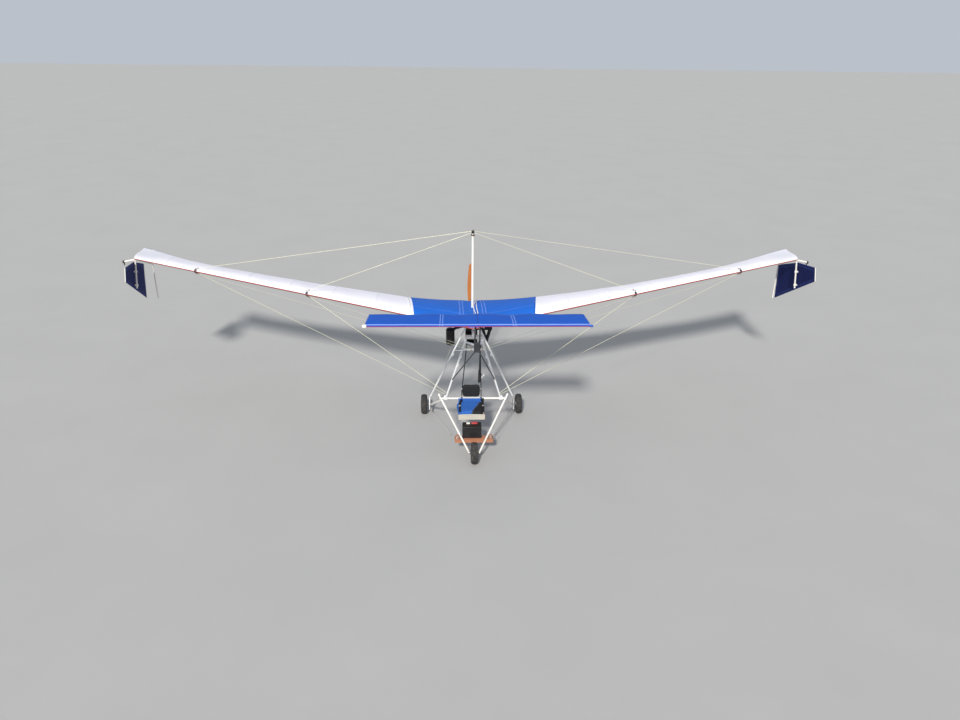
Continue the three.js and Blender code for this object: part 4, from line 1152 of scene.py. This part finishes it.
parts = [blade(1), blade(-1), turned(BOSS, PROP_PLACE, Y_AXIS, 48)]
make_piece("propeller_wood", parts, VARNISHED, "propeller", ("propeller",), sharp=50)
hub_steel = [turned(PLATE, PROP_PLACE - (0, 0.003, 0), Y_AXIS, 40)]
for direction in directions(6, 0, (X_AXIS, Z_AXIS)):
    spot = PROP_PLACE + (0, 0.0435, 0) + 0.031 * direction
    hub_steel.append(tube([spot - (0, 0.006, 0), spot], 0.0056, 6))
    hub_steel.append(tube([spot - (0, 0.006, 0), spot - (0, 0.004, 0)], 0.0075, 16))
make_piece("propeller_plate", hub_steel, STEEL, "propeller")
print("propeller: %.2f m across" % (2 * PROP_R))

# %% [markdown]
# ## The engine
# A two-cylinder two-stroke hangs upside down under the keel: crankcase on top, finned cylinders
# below, the intake box with its two hoses on one side and the muffler on the other. Each group of
# parts is its own piece, so the castings, the steel and the rubber can differ.

# %% Engine castings
ENGINE_Y, SHAFT_Z = 1.770, 1.400
CYLINDER_OFFSETS, CYLINDER_FOOT = (-0.076, 0.076), 1.053
FIN_COUNT, FIN_PITCH, FIN_R, BARREL_R = 15, 0.0142, 0.0915, 0.062
FLANGE = [(0.0, 0.0), (0.058, 0.0), (0.062, 0.004), (0.062, 0.030), (0.040, 0.046), (0.0, 0.046)]
case = [block(craft((0, ENGINE_Y, z)), size) for z, size in (
    (1.395, (0.226, 0.296, 0.20)), (SHAFT_Z, (0.2295, 0.12, 0.150)),
    (1.512, (0.088, 0.236, 0.040)), (1.2915, (0.16, 0.270, 0.012)),
)]
case.append(tube(craft([(0, 1.900, SHAFT_Z), (0, 2.3585, SHAFT_Z)]), 0.0298, 32))
case.append(turned(FLANGE, craft((0, 1.918, SHAFT_Z)), Y_AXIS, 40))
make_piece("engine_case", case, BLACK_METAL, "airframe", ("engine",), bevel=0.005)
cylinders, studs, leads = [], [], []
for offset in CYLINDER_OFFSETS:
    foot = craft((0, ENGINE_Y + offset, CYLINDER_FOOT))
    cylinders.append(tube([foot, foot + (0, 0, 0.247)], BARREL_R, 40))
    for level in range(FIN_COUNT):
        rim = FIN_R - 0.005 * abs(level - 7) / 7
        fin = [(0.060, -0.0013), (rim, -0.0008), (rim, 0.0008), (0.060, 0.0013), (0.060, -0.0013)]
        cylinders.append(turned(fin, foot + (0, 0, 0.013 + FIN_PITCH * level), Z_AXIS, 44))
    for direction in directions(4, 45, (X_AXIS, Y_AXIS)):
        spot = foot + (0, 0, 0.0005) + 0.048 * direction
        studs.append(tube([spot, spot + (0, 0, 0.008)], 0.0055, 6))
    plug, cap = foot + (0.010, 0, 0.001), foot + (0.014, 0, -0.031)
    leads.append(tube([plug, cap], [0.009, 0.0075], 16))
    share = np.linspace(0, 1, 18)[:, None]
    bend = np.sin(np.pi * share) * (0.075, 0, -0.035)
    leads.append(tube(cap + share * (0.112, -offset * 0.5, 0.268) + bend, 0.0035, 10))
make_piece("engine_cylinders", cylinders, CAST)
make_piece("engine_studs", studs, STEEL)
make_piece("ignition_leads", leads, BLACK_CABLE)
print("engine: case, 2 x 15 fins, leads")

# %% Exhaust and intake
MUFFLER, AIR_BOX = craft((-0.318, 1.740, 0)), craft((0.225, ENGINE_Y, 1.298))
CAN = [
    (0.0, 1.011), (0.030, 1.012), (0.055, 1.022), (0.0635, 1.036), (0.066, 1.040), (0.066, 1.046),
    (0.0645, 1.049), (0.0645, 1.246), (0.066, 1.249), (0.066, 1.255), (0.0635, 1.259), (0.055, 1.273),
    (0.030, 1.283), (0.0, 1.284),
]
port = MUFFLER + (0, 0, 1.250) + np.linspace(0, 1, 12)[:, None] * (0.204, 0, 0.070)
exhaust = [turned(CAN, MUFFLER, Z_AXIS, 48), tube(port, 0.0195, 24)]
for share in (0.30, 0.86):
    ends = [between(port[0], port[-1], place) for place in (share, share + 0.05)]
    exhaust.append(tube(ends, 0.0245, 24))
tail_pipe = craft([(-0.318, 1.805, 1.06), (-0.318, 1.850, 1.045), (-0.318, 1.880, 1.030)])
exhaust.append(tube(tail_pipe, 0.014, 20))
make_piece("exhaust", exhaust, BLACK_METAL, "airframe", ("muffler",), bevel=0.0015)
springs = []
turns = np.linspace(0, 1, 90)
for y in (-0.030, 0.030):
    coil = 0.0045 * np.stack([np.zeros(90), np.cos(turns * 55), np.sin(turns * 55)], axis=1)
    coil += craft((-0.262, 1.740 + y, 1.270)) + turns[:, None] * (0.060, 0, 0.020)
    springs.append(tube(coil, 0.0009, 6))
make_piece("exhaust_springs", springs, STEEL)
intake = [block(AIR_BOX, (0.168, 0.148, 0.070)), block(AIR_BOX, (0.1695, 0.1495, 0.010))]
for start, y, radius in ((-0.115, -0.045, 0.0225), (-0.115, 0.045, 0.0225), (-0.109, 0, 0.0255)):
    intake.append(tube([AIR_BOX + (start, y, 0.002), AIR_BOX + (-0.075, y, 0.002)], radius, 24))
make_piece("air_box_shell", intake, BLACK_PLASTIC, "airframe", ("air_box",), bevel=0.008)
run, hoses = np.linspace(0, 1, 120), []
for reach in (-0.058, 0.058):
    spine = craft((0.226, ENGINE_Y, 1.054)) + run[:, None] * (reach, 0, 0.214)
    hoses.append(tube(spine, 0.0248 + 0.0012 * np.sin(run * 2 * np.pi * 20), 24))
make_piece("intake_hoses", hoses, RUBBER)
print("exhaust and intake ready")

# %% [markdown]
# ## The pilot's place
# The seat is a cream tray hung behind the crossbar, with a blue and black cushion and a black
# backrest pad. Both pads are simulated: a rounded body is remeshed to an even mesh, inflated with
# Blender's Cloth while its movement is capped, and the result is kept as the mesh.

# %% Seat tray, foot bar, box and stick
dress("seat_pan", TRAY_PLASTIC, bevel=0.0012)
dress("foot_bar", FOOT_WOOD, bevel=0.004)
dress("kit_box", BLACK_PLASTIC, bevel=0.006)
dress("control_stick", BLACK_METAL, bevel=0.001)
pan_low, pan_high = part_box("seat_pan")
pan_mid = (pan_low[0] + pan_high[0]) / 2
share = np.linspace(-1, 1, 30)
lip_x = pan_mid + share * (pan_high[0] - pan_mid - 0.008)
lip = np.stack([lip_x, np.full(30, pan_low[1] + 0.004), 0.603 - 0.004 * share ** 2], axis=1)
make_piece("seat_lip", [tube(lip, 0.0085, 16)], TRAY_PLASTIC)

box_low, box_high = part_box("kit_box")
box_top = np.array([(box_low[0] + box_high[0]) / 2, (box_low[1] + box_high[1]) / 2, box_high[2]])
lid = (box_high[0] - box_low[0] + 0.003, box_high[1] - box_low[1] + 0.003, 0.005)
box_parts = [block(box_top - (0, 0, 0.046), lid)]
for x in (-0.08, 0.08):
    box_parts.append(block((box_top[0] + x, box_low[1] - 0.001, box_top[2] - 0.048), (0.028, 0.006, 0.036)))
run = np.linspace(0, 1, 16)
handle = np.stack([-0.05 + 0.10 * run, np.full(16, -0.03), 0.014 * np.sin(np.pi * run)], axis=1)
box_parts.append(tube(box_top + handle, 0.004, 10))
cover = block(box_top + (0.035, 0.025, 0.011), (0.085, 0.034, 0.022))
make_piece("terminal_cover", [cover], RED_PLASTIC, bevel=0.004)
terminal = block(box_top + (-0.050, 0.025, 0.009), (0.050, 0.034, 0.018))
make_piece("terminal_block", [terminal], WHITE_PLASTIC, bevel=0.004)
make_piece("box_fittings", box_parts, BLACK_PLASTIC, bevel=0.001)

pedal_parts = []
for x in (-0.226, 0.226):
    pedal_parts += [block(craft((x, 0.1405, z)), (0.030, 0.004, 0.006)) for z in np.linspace(0.292, 0.338, 5)]
    pedal_parts += bolt(craft((x, 0.156, 0.258)), Z_AXIS, 0.046)
make_piece("pedal_treads", pedal_parts, STEEL, bevel=0.0008)
grip_foot, grip_top = craft([(0.056, 0.055, 1.200), (0.069, 0.010, 1.330)])
rings = np.linspace(0, 1, 60)
ribs = 0.0012 * np.sign(np.sin(rings * 60)) * (np.abs(rings - 0.5) < 0.44)
grip = tube(between(grip_foot, grip_top, rings[:, None]), 0.0165 + ribs + 0.002 * (rings > 0.95), 20)
make_piece("stick_grip", [grip], BLACK_PLASTIC)
lever_foot = between(grip_foot, grip_top, 0.30)
lever_top = lever_foot + (0.055, -0.002, 0.062)
lever = tube(between(lever_foot, lever_top, np.linspace(0, 1, 8)[:, None]), 0.0055, 14)
knob = tube([lever_top, between(lever_foot, lever_top, 1.15)], 0.0085, 14)
make_piece("stick_lever", [lever, knob], POLISHED)
print("tray, foot bar, box and stick ready")

# %% Cushion cloths
def pad_cloth(name, colour, shade, black_part=False):
    """Woven seat cover; the cushion's right and rear part is black beyond a slanting sewn line."""
    cover = sail_start(name, colour, shade, 0.06, 0.003, 0.78)
    cover.height += use(weave, Vector=cover.place, Pitch=0.0045)["Height"] * 0.12
    if black_part:
        x, y, _ = split(cover.place)
        line = (x - 0.03) * 0.92 + (y + 0.60) * -0.40
        cover.colour = mix(line > 0.0, cover.colour, (0.016, 0.016, 0.018))
        add_seam(cover, line, y, 0.006, (0.012, 0.012, 0.014), (0.2, 0.25, 0.4))
    return finish_sail(cover)


CUSHION_CLOTH = pad_cloth("cushion_cloth", (0.030, 0.120, 0.42), (0.018, 0.08, 0.30), True)
BACK_CLOTH = pad_cloth("backrest_cloth", (0.016, 0.017, 0.019), (0.010, 0.011, 0.012))
BLACK_WEBBING = pad_cloth("black_webbing", (0.014, 0.014, 0.016), (0.008, 0.008, 0.010))
print("seat cloths: 3")

# %% Rounded bodies
VOXEL, SWELL_FRAMES, PRESSURE, EDGE_ROOM = 0.0055, 20, 4, 0.0006


def rounded_body(centre, size, count=16, power=5.0):
    """A superellipsoid-like pad: a cube's grid pushed out to |x|^p + |y|^p + |z|^p = 1."""
    a, b = np.meshgrid(*[np.linspace(-1, 1, count)] * 2, indexing="ij")
    sides = []
    for axis in range(3):
        for end in (-1, 1):
            face = np.stack([np.full(a.shape, float(end)), a * end, b], axis=-1)
            sides.append((np.roll(face, axis, axis=-1).reshape(-1, 3), grid_faces(count, count)))
    points, faces = joined(sides)
    length = (np.abs(points) ** power).sum(axis=1, keepdims=True) ** (1 / power)
    return points / length * size / 2 + centre, faces


def get_points(mesh):
    """A mesh's vertices as rows."""
    place = np.empty(3 * len(mesh.vertices))
    mesh.vertices.foreach_get("co", place)
    return place.reshape(-1, 3)


def set_points(mesh, place):
    """Moves a mesh's vertices to new rows."""
    mesh.vertices.foreach_set("co", place.ravel())
    mesh.update()


print("an even mesh of %.1f mm" % (VOXEL * 1000))

# %% Padded pieces by simulation
def inflate(piece, cap):
    """Remesh evenly, swell with Cloth pressure for 20 frames, cap the movement, keep the mesh."""
    scene = bpy.context.scene
    bpy.context.view_layer.objects.active = piece
    remesh = piece.modifiers.new("even mesh", "REMESH")
    remesh.mode, remesh.voxel_size = "VOXEL", VOXEL
    bpy.ops.object.modifier_apply(modifier=remesh.name)
    before = get_points(piece.data)
    swell = piece.modifiers.new("swell", "CLOTH")
    swell.settings.use_pressure = True
    swell.settings.uniform_pressure_force = PRESSURE
    swell.settings.effector_weights.gravity = 0
    swell.settings.quality = 5
    for step in range(1, SWELL_FRAMES + 1):
        scene.frame_set(step)
    moved = get_points(piece.evaluated_get(bpy.context.evaluated_depsgraph_get()).to_mesh()) - before
    reach = np.linalg.norm(moved, axis=1, keepdims=True)
    piece.modifiers.remove(swell)
    scene.frame_set(1)
    set_points(piece.data, before + moved * np.minimum(1, cap / np.maximum(reach, 1e-9)))
    piece.data.shade_smooth()


def pad(name, material, node_name, pinches, cap, wedge=0.0):
    """A crowned pad that fills its node's box, with sewn channels; a pinch is (axis, place, depth,
    half width). A wedge lifts and widens its rear."""
    low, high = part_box(node_name)
    middle, size = np.array((low + high) / 2), np.array(high - low)
    low, high = middle - size / 2, middle + size / 2
    body = rounded_body(middle, size - 2 * cap * np.array((0.7, 0.7, 0.9)))
    piece = make_piece(name, [body], material, "airframe", (node_name,), sharp=180)
    inflate(piece, cap)
    place = get_points(piece.data)
    thin_axis = int(np.argmin(size))
    for axis, at_place, depth, half_width in pinches:
        pull = depth * np.exp(-(((place[:, axis] - middle[axis] - at_place) / half_width) ** 2))
        place[:, thin_axis] -= np.sign(place[:, thin_axis] - middle[thin_axis]) * pull
    place = np.clip(place, low + EDGE_ROOM, high - EDGE_ROOM)
    share = (place[:, 1] - low[1]) / size[1]
    place[:, 2] += wedge * share ** 3 * np.clip((place[:, 2] - low[2]) / size[2], 0, 1)
    place[:, 0] += 4 * wedge * (share - 0.35) * (place[:, 0] - middle[0]) / size[0]
    set_points(piece.data, place)
    smooth = piece.modifiers.new("smooth", "SUBSURF")
    smooth.levels = smooth.render_levels = 1


channels = [(0, -0.08, 0.005, 0.007), (0, 0.08, 0.005, 0.007), (1, 0.02, 0.004, 0.007)]
pad("cushion", CUSHION_CLOTH, "seat_cushion", channels, 0.010, wedge=0.020)
channels = [(2, -0.055, 0.003, 0.006), (2, 0.055, 0.003, 0.006)]
pad("backrest", BACK_CLOTH, "seat_back", channels, 0.007)
print("pads: cushion and backrest")

# %% Seat straps
def bent(corners, count=40):
    """A path through corners, with the steps between them even in number."""
    corners = np.array(corners)
    share = np.linspace(0, len(corners) - 1, count)
    return craft(np.stack([np.interp(share, np.arange(len(corners)), column) for column in corners.T], axis=1))


straps, buckles = [], []
angle = np.linspace(0, 2 * np.pi, 33)
for x_top, x in ((-0.085, -0.161), (0.085, 0.110)):
    straps.append(strip(bent([(x_top, 0.660, 1.565), (x, 0.652, 0.760), (x, 0.6455, 0.690)]), 0.013, 0.0016))
    wrap = np.stack([np.full(33, x), 0.630 + 0.0142 * np.cos(angle), 0.665 + 0.0142 * np.sin(angle)], axis=1)
    straps.append(strip(craft(wrap), 0.026, 0.0018))
    belt = [
        (x, 0.6135, 0.660), (x * 1.02, 0.603, 0.664), (x * 1.15, 0.52, 0.653), (x * 1.2, 0.40, 0.6465),
        (x * 1.18, 0.275, 0.640),
    ]
    straps.append(strip(bent(belt), 0.030, 0.0018, (1, 0.02, 0)))
    buckles.append(block(craft((x, 0.652, 0.80)), (0.020, 0.005, 0.022)))
    buckles.append(block(craft((x * 1.19, 0.44, 0.6510)), (0.036, 0.030, 0.006)))
FLAP = ((0.6108, 0.560), (0.6108, 0.668), (0.6120, 0.6735), (0.6152, 0.6738))
flap = strip([craft((pan_mid, y, z)) for y, z in FLAP], pan_high[0] - pan_low[0] - 0.002, 0.0014)
make_piece("cushion_flap", [flap], CUSHION_CLOTH)
make_piece("seat_webbing", straps, BLACK_WEBBING)
make_piece("buckles", buckles, STEEL, bevel=0.0015)
print("webbing:", len(straps), "straps")

# %% Tip caps
TIP_CAP = [
    (0.0192, -0.034), (0.0205, -0.032), (0.0205, -0.004), (0.017, 0.0005), (0.0, 0.001), (0.0, -0.0005),
    (0.0192, -0.0005), (0.0192, -0.034),
]
caps = []
for sign in (-1, 1):
    end, start = craft([(5.150, 2.166, 2.176), (4.945, 2.105, 2.233)]) * (sign, 1, 1)
    neck = end - unit(end - start) * 0.018
    caps += [turned(TIP_CAP, end, end - start, 28), tube([neck, neck - (0, 0, 0.055)], [0.011, 0.005], 14)]
make_piece("tip_caps", caps, BLACK_PLASTIC, bevel=0.001)
print("tip caps: 2")

# %% [markdown]
# ## Floor and light
# A plain pale floor and soft studio light: a large warm key lamp high on the left behind the camera,
# where the sun stood in the photograph, and a pale sky that fills the shadows. The Standard view
# keeps saturated sailcloth as it is, where the default one would wash it out.

# %% Stage
bpy.ops.mesh.primitive_plane_add(size=120, location=(0, 20, 0))
floor = bpy.context.object
floor.name = "floor"
floor_material, shader, place = start_material("studio_floor", 0.8)
patch = use(wear, Vector=place, Size=1.5, Amount=0.0)["Cloud"]
feed(shader, Base_Color=mix(patch, (0.36, 0.36, 0.355), (0.40, 0.40, 0.395)))
floor.data.materials.append(floor_material)

sun_data = bpy.data.lights.new("key_light", "SUN")
sun_data.energy, sun_data.angle, sun_data.color = 4.2, math.radians(5), (1.0, 0.96, 0.90)
sun = bpy.data.objects.new("key_light", sun_data)
sun.rotation_euler = Vector((0.28, 1.35, -1.0)).to_track_quat("-Z", "Y").to_euler()
bpy.context.collection.objects.link(sun)

world = bpy.data.worlds.new("studio_sky")
world.use_nodes = True
sky = world.node_tree.nodes["Background"].inputs
sky["Color"].default_value, sky["Strength"].default_value = (0.80, 0.86, 0.95, 1), 0.62
bpy.context.scene.world = world
bpy.context.scene.view_settings.view_transform = "Standard"
print("stage set")
